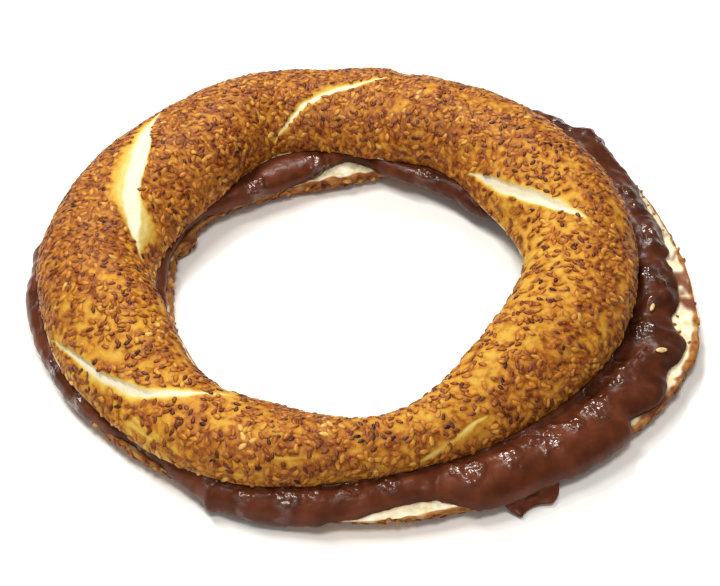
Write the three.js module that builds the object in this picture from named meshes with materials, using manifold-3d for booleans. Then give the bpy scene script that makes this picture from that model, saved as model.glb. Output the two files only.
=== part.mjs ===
// A simit: a sesame bread ring twisted from two strands of dough, cut level into two rings and filled
// with chocolate spread. Millimetres, +Z up. The origin is on the table, under the middle of the whole.
// Angles are in degrees: theta runs round the ring from +X towards +Y, and psi runs round a strand's
// section from its outer side (0) over the top (90) to its inner side (180).

import * as THREE from "three";
import { mergeVertices } from "three/addons/utils/BufferGeometryUtils.js";
import Module from "manifold-3d";

const wasm = await Module();
wasm.setup();

// Levels of the two cuts above the table. The spread fills what is between them.
const BASE_CUT = 6;
const TOP_CUT = 11;
const SKIN_GAP = 0.3;
const TRIM_SIZE = 300; // wider and higher than the whole ring, for the solids that cut it

// A size that varies round the ring: its mean, and waves as [crests round the ring, height, angle of a
// crest]. The halves sprang to slightly different ovals after the cut, and the upper one lies off centre.
const TOP = {
  centre: [-6.5, 0.8],
  radius: { mean: 66.6, waves: [[2, 1.5, 52], [3, 0.7, 7], [4, 0.8, 3], [6, 0.6, 56], [8, 0.3, 11]] },
  halfWidth: {
    mean: 16.1,
    waves: [[1, 3.5, 97], [2, 1.8, 8], [4, 0.7, 52], [5, 0.6, 50], [6, 0.8, 18], [8, 0.4, 29]],
  },
  sectionLevel: TOP_CUT + 1,
  heightShare: 0.8,
};
const BASE = {
  centre: [4.5, -0.3],
  radius: { mean: 70, waves: [[1, 1, 240], [2, 3.7, 11], [4, 0.4, 55], [5, 0.6, 67]] },
  halfWidth: { mean: 17.7, waves: [[1, 2, 73], [2, 1, 75], [4, 0.9, 36], [5, 2.2, 50]] },
  sectionLevel: BASE_CUT - 0.5,
  heightShare: 0.42,
};

// Where the seam between the two strands lies, as [theta, psi]. The ring holds four half turns, so the
// seam comes back to its other side, and each half turn lets one of the two seams pass over the top.
const SEAM_PATH = [
  [5, 84], [9, 103], [15, 122], [24, 140], [41, 159], [84, 266], [92, 282], [100, 300], [108, 329],
  [135, 408], [147, 441], [153, 451], [165, 470], [181, 500], [206, 573], [221, 595], [230, 612],
  [240, 647], [282, 724], [300, 764],
];
const TWIST_PER_TURN = 720;
// How far the seam on top tore open in the oven, as [theta, share]: 0 is a closed crease, 1 a wide split.
const SEAM_OPENINGS = [
  [5, 0.4], [14, 0.8], [33, 0.8], [41, 0.1], [76, 0], [86, 0.35], [100, 0.35], [108, 0.1], [132, 0.2],
  [141, 0.8], [156, 1], [174, 1], [184, 0.1], [203, 0.2], [212, 0.7], [224, 0.7], [236, 0.3], [244, 0],
  [280, 0], [291, 0.3], [302, 0],
];
const STRAND_OFFSET = 0.2; // distance between a strand's centre and the ring's, as a share of its radius
const CLOSED_DEPTH = 0.13; // how deep a crease cuts into the section, as a share of its size
const OPEN_DEPTH = 0.08; // the same for a wide split, whose floor rose with the dough
const LUMP_SHARE = 0.02; // unevenness of the dough, as a share of the section's size

// The spread, each list as [theta, size]: how far it reaches outwards and towards the hole, half the
// thickness of its rounded outer rim, and how far that rim sags over the base's side.
const SPREAD_CENTRE = [4.4, 0.6];
const SPREAD_LEVEL = 7.6;
const SPREAD_OUTER = [
  [5, 83], [20, 86], [40, 92.5], [60, 90], [85, 84], [130, 85], [165, 92], [183, 98.6], [203, 95],
  [225, 89.5], [250, 88.5], [265, 85.5], [278, 78], [286, 82], [296, 85], [318, 86.5], [330, 84],
  [343, 88], [352, 82.5],
];
const SPREAD_INNER = [
  [0, 47], [25, 45.5], [50, 44], [70, 44.5], [85, 46.5], [97, 52], [115, 48.5], [135, 48.5], [150, 54],
  [162, 59.5], [200, 60], [225, 60.5], [250, 57.5], [270, 55.5], [300, 54], [330, 51],
];
const RIM_HALF_THICKNESS = [
  [0, 1.9], [25, 2.3], [45, 3.4], [90, 3.9], [150, 3.9], [183, 4.2], [225, 4.4], [255, 5.2],
  [280, 4.2], [300, 5.4], [315, 5], [335, 2.4],
];
const INNER_HALF_THICKNESS = 4.2;
const SHOULDER_INSET = 2; // the spread is at its full height this far inside the upper half's side
const SPREAD_SAG = [[0, 0], [60, 0.5], [183, 1], [225, 1.4], [255, 2.8], [280, 1], [300, 2], [325, 1.4]];
// Unevenness of the spread's edges: its height, and crests round the ring of two waves outside, one inside.
const SPREAD_RIPPLE = 0.35;
const OUTER_RIPPLES = [11, 17];
const INNER_RIPPLES = 13;
// A drip that ran down the base's side and stopped short of the table.
const DRIP = { theta: 296.5, reach: 82, level: 2.4, alongRing: 11, outwards: 4.9, tall: 3.4 };
const SPREAD_FOOT = 0.4; // the lowest level of the spread, just above the table

// Sesame seeds: their real size, how deep they sit in the crust, the least distance between two,
// and in how many golden steps they are laid round each ring.
const SEED = { length: 3.4, width: 2.1, thickness: 1.3, taper: 0.3, sink: 0.15 };
const SEED_CLEARANCE = 3.9;
const SEAM_MARGIN = { closed: 0.15, torn: 0.45 }; // bare crust beside a seam, as a share of the section
// The part of each ring that takes seeds, as section angles and as levels between its cut and the table.
const TOP_SEEDS = { steps: 225, psi: [8, 172], levels: [TOP_CUT + 2.2, TRIM_SIZE], seed: 7 };
const BASE_SEEDS = { steps: 260, psi: [180, 360], levels: [2.2, BASE_CUT - 1.2], seed: 11 };

// Facets of the rings and of the spread: rows round the ring, and columns or angles round a section.
const BREAD_ROWS = 63;
const BREAD_COLUMNS = 16;
const SPREAD_ROWS = 60;
const RIM_ANGLES = [-75, -45, -15, 15, 45, 75];
const INNER_ANGLES = [105, 135, 165, 195, 225, 255];

const radians = THREE.MathUtils.degToRad;

// The value at theta of a size that varies in waves.
function waveAt(size, theta) {
  let value = size.mean;
  for (const [crests, height, crestAngle] of size.waves) {
    value += height * Math.cos(radians(crests * (theta - crestAngle)));
  }
  return value;
}

// A smooth closed curve through [angle, value] pairs, read at theta. Each full turn adds risePerTurn.
function smoothThrough(pairs, theta, risePerTurn = 0) {
  const count = pairs.length;
  const turnsBefore = Math.floor((theta - pairs[0][0]) / 360);
  const angle = theta - 360 * turnsBefore;
  const knot = (index) => {
    const turns = Math.floor(index / count);
    const [at, value] = pairs[index - turns * count];
    return [at + 360 * turns, value + risePerTurn * turns];
  };
  let first = 0;
  while (knot(first + 1)[0] <= angle) first += 1;
  const [before, start, end, after] = [knot(first - 1), knot(first), knot(first + 1), knot(first + 2)];
  const span = end[0] - start[0];
  const t = (angle - start[0]) / span;
  const startSlope = (span * (end[1] - before[1])) / (end[0] - before[0]);
  const endSlope = (span * (after[1] - start[1])) / (after[0] - start[0]);
  const value =
    (2 * t ** 3 - 3 * t ** 2 + 1) * start[1] +
    (t ** 3 - 2 * t ** 2 + t) * startSlope +
    (3 * t ** 2 - 2 * t ** 3) * end[1] +
    (t ** 3 - t ** 2) * endSlope;
  return value + risePerTurn * turnsBefore;
}

// The section angle at which the seam lies at theta.
function seamAngle(theta) {
  return smoothThrough(SEAM_PATH, theta, TWIST_PER_TURN);
}

// How open the seam is at theta.
function seamOpening(theta) {
  return THREE.MathUtils.clamp(smoothThrough(SEAM_OPENINGS, theta), 0, 1);
}

// The section's size in one direction as a share of its full size: two round strands side by side,
// a crease where they meet, and a risen floor in the crease where it tore open.
function strandShare(theta, psi) {
  const fromSeam = radians(psi - seamAngle(theta));
  const reach = Math.sqrt(1 - (STRAND_OFFSET * Math.cos(fromSeam)) ** 2);
  const strands = STRAND_OFFSET * Math.abs(Math.sin(fromSeam)) + reach;
  const floor = 1 - THREE.MathUtils.lerp(CLOSED_DEPTH, OPEN_DEPTH, seamOpening(theta));
  const lumps = Math.sin(radians(5 * theta + psi)) + Math.sin(radians(8 * theta - 2 * psi + 70));
  return Math.max(strands / (1 + STRAND_OFFSET), floor) + (LUMP_SHARE / 2) * lumps;
}

// A point in ring coordinates: a distance from the ring's own centre at theta, and a level.
function ringPoint(centre, theta, distance, level) {
  return new THREE.Vector3(
    centre[0] + distance * Math.cos(radians(theta)),
    centre[1] + distance * Math.sin(radians(theta)),
    level,
  );
}

// A point on a bread ring's crust.
function crustPoint(ring, theta, psi) {
  const size = waveAt(ring.halfWidth, theta) * strandShare(theta, psi);
  const outwards = size * Math.cos(radians(psi));
  const upwards = size * ring.heightShare * Math.sin(radians(psi));
  return ringPoint(ring.centre, theta, waveAt(ring.radius, theta) + outwards, ring.sectionLevel + upwards);
}

// A closed ring-shaped surface of rows round the ring and columns round the section.
function closedGrid(rows, columns, pointAt) {
  const positions = [];
  const faces = [];
  for (let row = 0; row < rows; row += 1) {
    for (let column = 0; column < columns; column += 1) {
      positions.push(...pointAt(row, column).toArray());
      const nextColumn = (column + 1) % columns;
      const here = row * columns;
      const next = ((row + 1) % rows) * columns;
      const [a, b, c, d] = [here + column, here + nextColumn, next + nextColumn, next + column];
      faces.push(a, d, b, b, d, c);
    }
  }
  const geometry = new THREE.BufferGeometry();
  geometry.setAttribute("position", new THREE.Float32BufferAttribute(positions, 3));
  geometry.setIndex(faces);
  return geometry;
}

// A three.js geometry as a manifold-3d solid.
function solidFrom(geometry) {
  const bare = geometry.clone();
  bare.deleteAttribute("normal");
  bare.deleteAttribute("uv");
  const merged = mergeVertices(bare);
  const vertProperties = new Float32Array(merged.attributes.position.array);
  const triVerts = new Uint32Array(merged.index.array);
  return new wasm.Manifold(new wasm.Mesh({ numProp: 3, vertProperties, triVerts }));
}

// A manifold-3d solid as a named mesh with its material.
function meshFrom(name, made, material) {
  const { vertProperties, triVerts } = made.getMesh();
  const geometry = new THREE.BufferGeometry();
  geometry.setAttribute("position", new THREE.BufferAttribute(vertProperties, 3));
  geometry.setIndex(new THREE.BufferAttribute(triVerts, 1));
  geometry.computeVertexNormals();
  const mesh = new THREE.Mesh(geometry, material);
  mesh.name = name;
  return mesh;
}

// Everything between two levels.
function slab(low, high) {
  const box = new THREE.BoxGeometry(TRIM_SIZE, TRIM_SIZE, high - low);
  return solidFrom(box.translate(0, 0, (low + high) / 2));
}

// A half ring of bread between two levels. Its columns follow the strands, so a column lies in each seam.
function breadRing(ring, low, high) {
  const surface = closedGrid(BREAD_ROWS, BREAD_COLUMNS, (row, column) => {
    const theta = (360 * row) / BREAD_ROWS;
    const psi = seamAngle(theta) + (360 * column) / BREAD_COLUMNS;
    return crustPoint(ring, theta, psi);
  });
  return solidFrom(surface).intersect(slab(low, high));
}

// The room a bread ring takes between two levels, with straight sides that its crust stays inside of.
function breadRoom(ring, low, high) {
  const surface = closedGrid(BREAD_ROWS, 4, (row, column) => {
    const theta = (360 * row) / BREAD_ROWS;
    const side = column === 0 || column === 3 ? 1 : -1;
    const reach = waveAt(ring.halfWidth, theta) * (1 + LUMP_SHARE) + SKIN_GAP;
    return ringPoint(ring.centre, theta, waveAt(ring.radius, theta) + side * reach, column < 2 ? high : low);
  });
  return solidFrom(surface);
}

// The spread's section at theta: the middles of its round ends, and the shoulder from which it slopes
// down to its outer rim.
function spreadSection(theta) {
  let outer = smoothThrough(SPREAD_OUTER, theta);
  for (const crests of OUTER_RIPPLES) outer += SPREAD_RIPPLE * Math.sin(radians(crests * theta));
  const inner = smoothThrough(SPREAD_INNER, theta) + SPREAD_RIPPLE * Math.sin(radians(INNER_RIPPLES * theta));
  const rimHalf = smoothThrough(RIM_HALF_THICKNESS, theta);
  const rimLevel = SPREAD_LEVEL - smoothThrough(SPREAD_SAG, theta);
  const outwards = ringPoint([0, 0], theta, 1, 0);
  const centreShift = ringPoint(TOP.centre, 0, 0, 0).sub(ringPoint(SPREAD_CENTRE, 0, 0, 0));
  const topSide = waveAt(TOP.radius, theta) + waveAt(TOP.halfWidth, theta) + centreShift.dot(outwards);
  return {
    rimHalf,
    rimLevel,
    rimMiddle: outer - rimHalf,
    innerMiddle: inner + INNER_HALF_THICKNESS,
    shoulder: Math.min(topSide - SHOULDER_INSET, outer - rimHalf),
  };
}

// The points round the spread's section at theta: its rim, shoulder, inner end and underside.
function spreadOutline(theta) {
  const { rimHalf, rimLevel, rimMiddle, innerMiddle, shoulder } = spreadSection(theta);
  const roundEnd = (middle, level, half, angles) =>
    angles.map((psi) => [middle + half * Math.cos(radians(psi)), level + half * Math.sin(radians(psi))]);
  const outline = [
    ...roundEnd(rimMiddle, rimLevel, rimHalf, RIM_ANGLES),
    [shoulder, SPREAD_LEVEL + INNER_HALF_THICKNESS],
    ...roundEnd(innerMiddle, SPREAD_LEVEL, INNER_HALF_THICKNESS, INNER_ANGLES),
    [shoulder, SPREAD_LEVEL - INNER_HALF_THICKNESS],
  ];
  return outline.map(([distance, level]) => ringPoint(SPREAD_CENTRE, theta, distance, level));
}

// The drip, as an egg against the base's side.
function drip() {
  const egg = new THREE.SphereGeometry(1, 16, 10);
  egg.scale(DRIP.outwards, DRIP.alongRing, DRIP.tall);
  egg.rotateZ(radians(DRIP.theta));
  egg.translate(...ringPoint(SPREAD_CENTRE, DRIP.theta, DRIP.reach, DRIP.level).toArray());
  return solidFrom(egg);
}

// The spread, kept clear of both bread rings.
function spreadRing() {
  const outlines = Array.from({ length: SPREAD_ROWS }, (_, row) => spreadOutline((360 * row) / SPREAD_ROWS));
  const surface = closedGrid(SPREAD_ROWS, outlines[0].length, (row, column) => outlines[row][column]);
  const under = breadRoom(BASE, -TRIM_SIZE, BASE_CUT + SKIN_GAP);
  const over = breadRoom(TOP, TOP_CUT - SKIN_GAP, TRIM_SIZE);
  const whole = solidFrom(surface).add(drip()).intersect(slab(SPREAD_FOOT, TRIM_SIZE));
  return whole.subtract(under).subtract(over);
}

// Seeded random numbers from 0 to 1.
function randomFrom(seed) {
  let state = seed;
  return () => {
    state = (Math.imul(state, 1664525) + 1013904223) >>> 0;
    return state / 2 ** 32;
  };
}

// True where a seed would touch the spread or its drip.
function touchesSpread(point) {
  const fromCentre = new THREE.Vector2(point.x - SPREAD_CENTRE[0], point.y - SPREAD_CENTRE[1]);
  const section = spreadSection(THREE.MathUtils.radToDeg(fromCentre.angle()));
  const nearest = THREE.MathUtils.clamp(fromCentre.length(), section.innerMiddle, section.rimMiddle);
  const atRim = nearest === section.rimMiddle;
  const level = atRim ? section.rimLevel : SPREAD_LEVEL;
  const half = atRim ? section.rimHalf : INNER_HALF_THICKNESS;
  const away = Math.hypot(fromCentre.length() - nearest, point.z - level);
  const dripCentre = ringPoint(SPREAD_CENTRE, DRIP.theta, DRIP.reach, DRIP.level);
  return away < half + SEED.length / 2 || point.distanceTo(dripCentre) < DRIP.alongRing + SEED.length;
}

// One seed: a flat drop with a narrower tip.
function seedSolid(point, normal, heading) {
  const drop = new THREE.IcosahedronGeometry(1, 0);
  const position = drop.attributes.position;
  for (let index = 0; index < position.count; index += 1) {
    position.setY(index, position.getY(index) * (1 - SEED.taper * position.getX(index)));
  }
  drop.scale(SEED.length / 2, SEED.width / 2, SEED.thickness / 2);
  drop.rotateZ(heading);
  drop.applyQuaternion(new THREE.Quaternion().setFromUnitVectors(new THREE.Vector3(0, 0, 1), normal));
  drop.translate(...point.toArray());
  return solidFrom(drop);
}

// Where the line through a ring's section meets its crust, seen from outside: the point and the way it faces.
function crustHit(ring, crustMesh, theta, psi) {
  const core = ringPoint(ring.centre, theta, waveAt(ring.radius, theta), ring.sectionLevel);
  const inwards = core.clone().sub(crustPoint(ring, theta, psi)).normalize();
  const ray = new THREE.Raycaster(core.addScaledVector(inwards, -2 * ring.halfWidth.mean), inwards);
  const [hit] = ray.intersectObject(crustMesh);
  return hit;
}

// Seeds spread evenly over a ring's crust by golden steps across it, clear of the seams, of the spread
// and of each other.
function seedsOn(ring, bread, { steps, psi: [firstPsi, lastPsi], levels: [lowest, highest], seed }) {
  const crustMesh = meshFrom("crust", bread, new THREE.MeshBasicMaterial());
  const random = randomFrom(seed);
  const goldenStep = (Math.sqrt(5) - 1) / 2;
  const placed = [];
  const seeds = [];
  for (let index = 0; index < steps; index += 1) {
    const theta = (360 * index) / steps;
    const psi = THREE.MathUtils.lerp(firstPsi, lastPsi, (index * goldenStep) % 1);
    const heading = Math.PI * random();
    const hit = crustHit(ring, crustMesh, theta, psi);
    if (!hit) continue;
    const normal = hit.face.normal;
    const point = hit.point.addScaledVector(normal, -SEED.sink);
    const margin = THREE.MathUtils.lerp(SEAM_MARGIN.closed, SEAM_MARGIN.torn, seamOpening(theta));
    const inSeam = Math.abs(Math.sin(radians(psi - seamAngle(theta)))) < margin;
    const outside = point.z < lowest || point.z > highest;
    const crowded = placed.some((other) => other.distanceTo(point) < SEED_CLEARANCE);
    if (inSeam || outside || crowded || touchesSpread(point)) continue;
    placed.push(point);
    seeds.push(seedSolid(point, normal, heading));
  }
  return seeds;
}

// A bread ring with its seeds fused on, as one solid.
function seeded(bread, seeds) {
  return wasm.Manifold.union([bread, ...seeds]);
}

const topBread = breadRing(TOP, TOP_CUT, TRIM_SIZE);
const topSeeds = seedsOn(TOP, topBread, TOP_SEEDS);
const baseBread = breadRing(BASE, 0, BASE_CUT);
const baseSeeds = seedsOn(BASE, baseBread, BASE_SEEDS);

// Egg-washed crust, a glossy spread and the paler side of the base.
const crust = new THREE.MeshStandardMaterial({ color: "#b87a38", roughness: 0.45, metalness: 0 });
const chocolate = new THREE.MeshStandardMaterial({ color: "#5a2f20", roughness: 0.22, metalness: 0 });
const baseCrust = new THREE.MeshStandardMaterial({ color: "#b0824a", roughness: 0.6, metalness: 0 });

const simit = new THREE.Group();
simit.add(meshFrom("simit_top", seeded(topBread, topSeeds), crust));
simit.add(meshFrom("chocolate_spread", spreadRing(), chocolate));
simit.add(meshFrom("simit_base", seeded(baseBread, baseSeeds), baseCrust));

export default simit;
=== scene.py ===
# %% [markdown]
# # A simit filled with chocolate spread
# A simit is a ring of two strands of dough, twisted, dipped in molasses water, rolled in sesame and baked.
# This one is cut level into two rings, and chocolate spread squeezes out between them. The lesson builds
# the two rings, the seeds, the spread and the crumbs, and gives each its finish.
# Sizes are in millimetres until a mesh is made. Angles are in degrees: theta runs round the ring from +X
# towards +Y, and psi runs round a strand's section from its outer side (0) over the top (90) to the hole (180).

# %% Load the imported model
import math
from itertools import product

import bpy
import numpy as np
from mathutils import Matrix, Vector


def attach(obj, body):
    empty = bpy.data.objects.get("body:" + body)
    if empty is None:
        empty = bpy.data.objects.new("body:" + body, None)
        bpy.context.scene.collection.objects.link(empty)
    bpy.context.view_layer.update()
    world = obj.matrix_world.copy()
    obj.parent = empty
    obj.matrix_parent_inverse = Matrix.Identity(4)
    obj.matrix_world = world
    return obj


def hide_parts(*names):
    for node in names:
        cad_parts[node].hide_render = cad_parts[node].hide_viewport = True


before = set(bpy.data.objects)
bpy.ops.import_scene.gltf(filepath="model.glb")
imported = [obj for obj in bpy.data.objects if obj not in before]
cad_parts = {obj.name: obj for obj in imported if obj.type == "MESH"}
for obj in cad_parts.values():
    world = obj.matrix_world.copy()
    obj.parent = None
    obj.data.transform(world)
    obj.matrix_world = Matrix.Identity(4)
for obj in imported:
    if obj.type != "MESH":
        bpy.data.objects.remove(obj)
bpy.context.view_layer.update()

MM = 0.001
print("solids:", ", ".join(sorted(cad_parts)))

# %% [markdown]
# ## Camera
# Food is often seen from above at 45 degrees, so that both the top and the filling show. A long lens from
# about half a metre keeps the far side of the ring almost as large as the near side.

# %% Camera
VIEW_ELEVATION = math.radians(45)
VIEW_DISTANCE = 447.28
VIEW_CENTRE = Vector((-0.16, -6.37, 8.03))

lens = bpy.data.cameras.new("lens")
lens.lens = 80
lens.sensor_width = 36
lens.clip_start = 0.01
camera = bpy.data.objects.new("camera", lens)
bpy.context.scene.collection.objects.link(camera)
towards_camera = Vector((0, -math.cos(VIEW_ELEVATION), math.sin(VIEW_ELEVATION)))
camera.location = (VIEW_CENTRE + VIEW_DISTANCE * towards_camera) * MM
camera.rotation_euler = (math.radians(90) - VIEW_ELEVATION, 0, 0)
bpy.context.scene.camera = camera
print("camera", round(VIEW_DISTANCE), "mm away")

# %% [markdown]
# ## Helpers for colours and node trees
# Colours are picked as hex values, which are sRGB, and shaders count in linear light, so one function turns
# one into the other. One function adds a node to any tree, with its settings and what feeds its sockets.


# %% Colours and nodes
def linear(hex_colour):
    """An sRGB hex colour as linear RGBA."""
    channels = [int(hex_colour[at:at + 2], 16) / 255 for at in (1, 3, 5)]
    return [c / 12.92 if c <= 0.04045 else ((c + 0.055) / 1.055) ** 2.4 for c in channels] + [1]


def add_node(tree, kind, inputs=None, **settings):
    """Adds a node. inputs maps a socket's name or number to a value, or to the socket or node that feeds it."""
    node = tree.nodes.new(kind)
    for name, value in settings.items():
        setattr(node, name, value)
    for name, value in (inputs or {}).items():
        if isinstance(name, int):
            socket = node.inputs[name]
        else:
            socket = next(entry for entry in node.inputs if entry.enabled and entry.name == name)
        if isinstance(value, bpy.types.Node):
            value = next(entry for entry in value.outputs if entry.enabled)
        if isinstance(value, bpy.types.NodeSocket):
            tree.links.new(value, socket)
        else:
            socket.default_value = value
    return node


def new_tree(name, inputs):
    """An empty Geometry Nodes tree with a geometry input and named inputs, given as {name: socket type}."""
    tree = bpy.data.node_groups.new(name, "GeometryNodeTree")
    tree.interface.new_socket("Geometry", in_out="INPUT", socket_type="NodeSocketGeometry")
    tree.interface.new_socket("Geometry", in_out="OUTPUT", socket_type="NodeSocketGeometry")
    for label, kind in inputs.items():
        tree.interface.new_socket(label, in_out="INPUT", socket_type=kind)
    return tree, tree.nodes.new("NodeGroupInput").outputs


def end_tree(tree, geometry):
    """Ends a tree: real meshes instead of instances, smooth shading and a material."""
    given = tree.nodes.new("NodeGroupInput").outputs
    real = add_node(tree, "GeometryNodeRealizeInstances", {"Geometry": geometry})
    smooth = add_node(tree, "GeometryNodeSetShadeSmooth", {"Geometry": real.outputs[0]})
    painted = add_node(
        tree, "GeometryNodeSetMaterial", {"Geometry": smooth.outputs[0], "Material": given["Material"]}
    )
    add_node(tree, "NodeGroupOutput", {"Geometry": painted.outputs[0]})


def run_tree(tree, mesh, name, **values):
    """Runs a tree on a mesh and returns its result as a plain mesh, with nothing live on it."""
    host = bpy.data.objects.new(name + " host", mesh)
    bpy.context.scene.collection.objects.link(host)
    modifier = host.modifiers.new("tree", "NODES")
    modifier.node_group = tree
    sockets = {item.name: item.identifier for item in tree.interface.items_tree if item.in_out == "INPUT"}
    for label, value in values.items():
        modifier[sockets[label.replace("_", " ")]] = value
    evaluated = host.evaluated_get(bpy.context.evaluated_depsgraph_get())
    made = bpy.data.meshes.new_from_object(evaluated)
    made.name = name
    bpy.data.objects.remove(host)
    return made


def make_piece(name, mesh, replaced=None):
    """Links a finished mesh as a piece that rides on the only body."""
    piece = bpy.data.objects.new(name, mesh)
    bpy.context.scene.collection.objects.link(piece)
    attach(piece, "root")
    if replaced:
        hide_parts(replaced)
    low, high = np.array(piece.bound_box[0]) / MM, np.array(piece.bound_box[6]) / MM
    triangles = sum(len(face.vertices) - 2 for face in mesh.polygons)
    print(f"{name}: {triangles} triangles, {np.round(low, 1)} to {np.round(high, 1)} mm")
    return piece


# %% [markdown]
# ## Lumps
# Nothing baked is smooth. Random heights on a lattice, blended between its points, give lumps of a real
# size in millimetres. The same points always get the same heights, so every run gives the same food.


# %% Lumps of a real size
def lumps(points, size, seed):
    """Smooth random heights from -1 to 1 at points (n, 3), in lumps about size mm across."""
    cell = np.asarray(points) / size + 31.7 * seed
    corner = np.floor(cell).astype(np.int64)
    share = cell - corner
    share = share * share * (3 - 2 * share)
    height = np.zeros(len(cell))
    for step in product((0, 1), repeat=3):
        x, y, z = (corner + step).T
        mixed = (x * 73856093) ^ (y * 19349663) ^ (z * 83492791) ^ (seed * 668265263)
        mixed = ((mixed ^ (mixed >> 13)) * 1274126177) & 0x7FFFFFFF
        value = ((mixed ^ (mixed >> 16)) & 0xFFFF) / 0x7FFF - 1
        height += value * np.prod(np.where(step, share, 1 - share), axis=1)
    return height


def ramp(value, low, high):
    """0 below low, 1 above high and smooth between."""
    share = np.clip((value - low) / (high - low), 0, 1)
    return share * share * (3 - 2 * share)


# %% [markdown]
# ## The rule of the ring
# Each half ring has a radius and a half width that vary in waves, and a seam between its two strands that
# climbs from the outer side over the top into the hole. Where the seam passes over the top it tore open in
# the oven. These are the same sizes as the solids have, so that the dressed rings take their place.

# %% Sizes of the two rings
BASE_CUT = 6
TOP_CUT = 11
TOP = {
    "centre": (-6.5, 0.8),
    "radius": (66.6, [(2, 1.5, 52), (3, 0.7, 7), (4, 0.8, 3), (6, 0.6, 56), (8, 0.3, 11)]),
    "half": (16.1, [(1, 3.5, 97), (2, 1.8, 8), (4, 0.7, 52), (5, 0.6, 50), (6, 0.8, 18), (8, 0.4, 29)]),
    "level": TOP_CUT + 1,
    "squash": 0.8,
}
BASE = {
    "centre": (4.5, -0.3),
    "radius": (70, [(1, 1, 240), (2, 3.7, 11), (4, 0.4, 55), (5, 0.6, 67)]),
    "half": (17.7, [(1, 2, 73), (2, 1, 75), (4, 0.9, 36), (5, 2.2, 50)]),
    "level": BASE_CUT - 0.5,
    "squash": 0.42,
}
SEAM_PATH = [
    (5, 84), (9, 103), (15, 122), (24, 140), (41, 159), (84, 266), (92, 282), (100, 300), (108, 329),
    (135, 408), (147, 441), (153, 451), (165, 470), (181, 500), (206, 573), (221, 595), (230, 612),
    (240, 647), (282, 724), (300, 764),
]
TWIST_PER_TURN = 720
SEAM_OPENINGS = [
    (5, 0.4), (14, 0.8), (33, 0.8), (41, 0.1), (76, 0), (86, 0.35), (100, 0.35), (108, 0.1), (132, 0.2),
    (141, 0.8), (156, 1), (174, 1), (184, 0.1), (203, 0.2), (212, 0.7), (224, 0.7), (236, 0.3), (244, 0),
    (280, 0), (291, 0.3), (302, 0),
]
CLOSED_DEPTH = 0.13
OPEN_DEPTH = 0.08
STRAND_OFFSET = 0.2


def wave_at(size, theta):
    mean, waves = size
    return mean + sum(height * np.cos(np.radians(crests * (theta - crest))) for crests, height, crest in waves)


def smooth_through(pairs, theta, rise=0.0):
    """A smooth closed curve through (angle, value) pairs, read at theta. Each full turn adds rise."""
    known = np.array(pairs, float)
    count = len(known)
    turns = np.floor((np.asarray(theta, float) - known[0, 0]) / 360)
    angle = theta - 360 * turns
    index = np.arange(-2, count + 3)
    at = known[index % count, 0] + 360 * (index // count)
    value = known[index % count, 1] + rise * (index // count)
    first = np.searchsorted(at, angle, side="right") - 1
    span = at[first + 1] - at[first]
    t = (angle - at[first]) / span
    start_slope = span * (value[first + 1] - value[first - 1]) / (at[first + 1] - at[first - 1])
    end_slope = span * (value[first + 2] - value[first]) / (at[first + 2] - at[first])
    return (
        (2 * t**3 - 3 * t**2 + 1) * value[first] + (t**3 - 2 * t**2 + t) * start_slope
        + (3 * t**2 - 2 * t**3) * value[first + 1] + (t**3 - t**2) * end_slope + rise * turns
    )


def seam_angle(theta):
    return smooth_through(SEAM_PATH, theta, TWIST_PER_TURN)


def ring_point(centre, theta, distance, level):
    angle = np.radians(theta)
    x = centre[0] + distance * np.cos(angle)
    y = centre[1] + distance * np.sin(angle)
    return np.stack([x, y, np.broadcast_to(level, np.shape(x))], axis=-1)


print("seam at the right end:", round(float(seam_angle(0.0))) % 360, "degrees")

# %% [markdown]
# ## Sweeping the dough
# A twisted ring follows a rule, so Geometry Nodes make it: Curve to Mesh sweeps one round section along a
# circle, and a Set Position presses in the two creases where the strands meet, at an angle that turns as
# the path goes round. The path carries its own numbers as attributes: half width, seam angle, crease depth
# and how far the ring is out of round. A cut is made by holding every point between two levels, which
# leaves a flat face of quads. Most columns lie on the crust, since little of the cut shows.

# %% The dough ring tree
FLOATS = "NodeSocketFloat"
dough_tree, given = new_tree("Twisted dough ring", {
    "Columns": "NodeSocketInt", "Arc from": FLOATS, "Arc to": FLOATS, "Arc share": FLOATS,
    "Strand offset": FLOATS, "Level": FLOATS, "Squash": FLOATS, "Low": FLOATS, "High": FLOATS,
    "Material": "NodeSocketMaterial",
})
place = add_node(dough_tree, "GeometryNodeInputPosition")

# The path: a closed line of points with its half width, and a copy of each point's place.
path = add_node(dough_tree, "GeometryNodeMeshToCurve", {"Mesh": given["Geometry"]})
path = add_node(dough_tree, "GeometryNodeSetCurveNormal", {"Curve": path}, mode="Z_UP")
half = add_node(dough_tree, "GeometryNodeInputNamedAttribute", {"Name": "half"}, data_type="FLOAT")
path = add_node(dough_tree, "GeometryNodeSetCurveRadius", {"Curve": path, "Radius": half})
path = add_node(
    dough_tree, "GeometryNodeStoreNamedAttribute", {"Geometry": path, "Name": "middle", "Value": place},
    data_type="FLOAT_VECTOR", domain="POINT",
)

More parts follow.
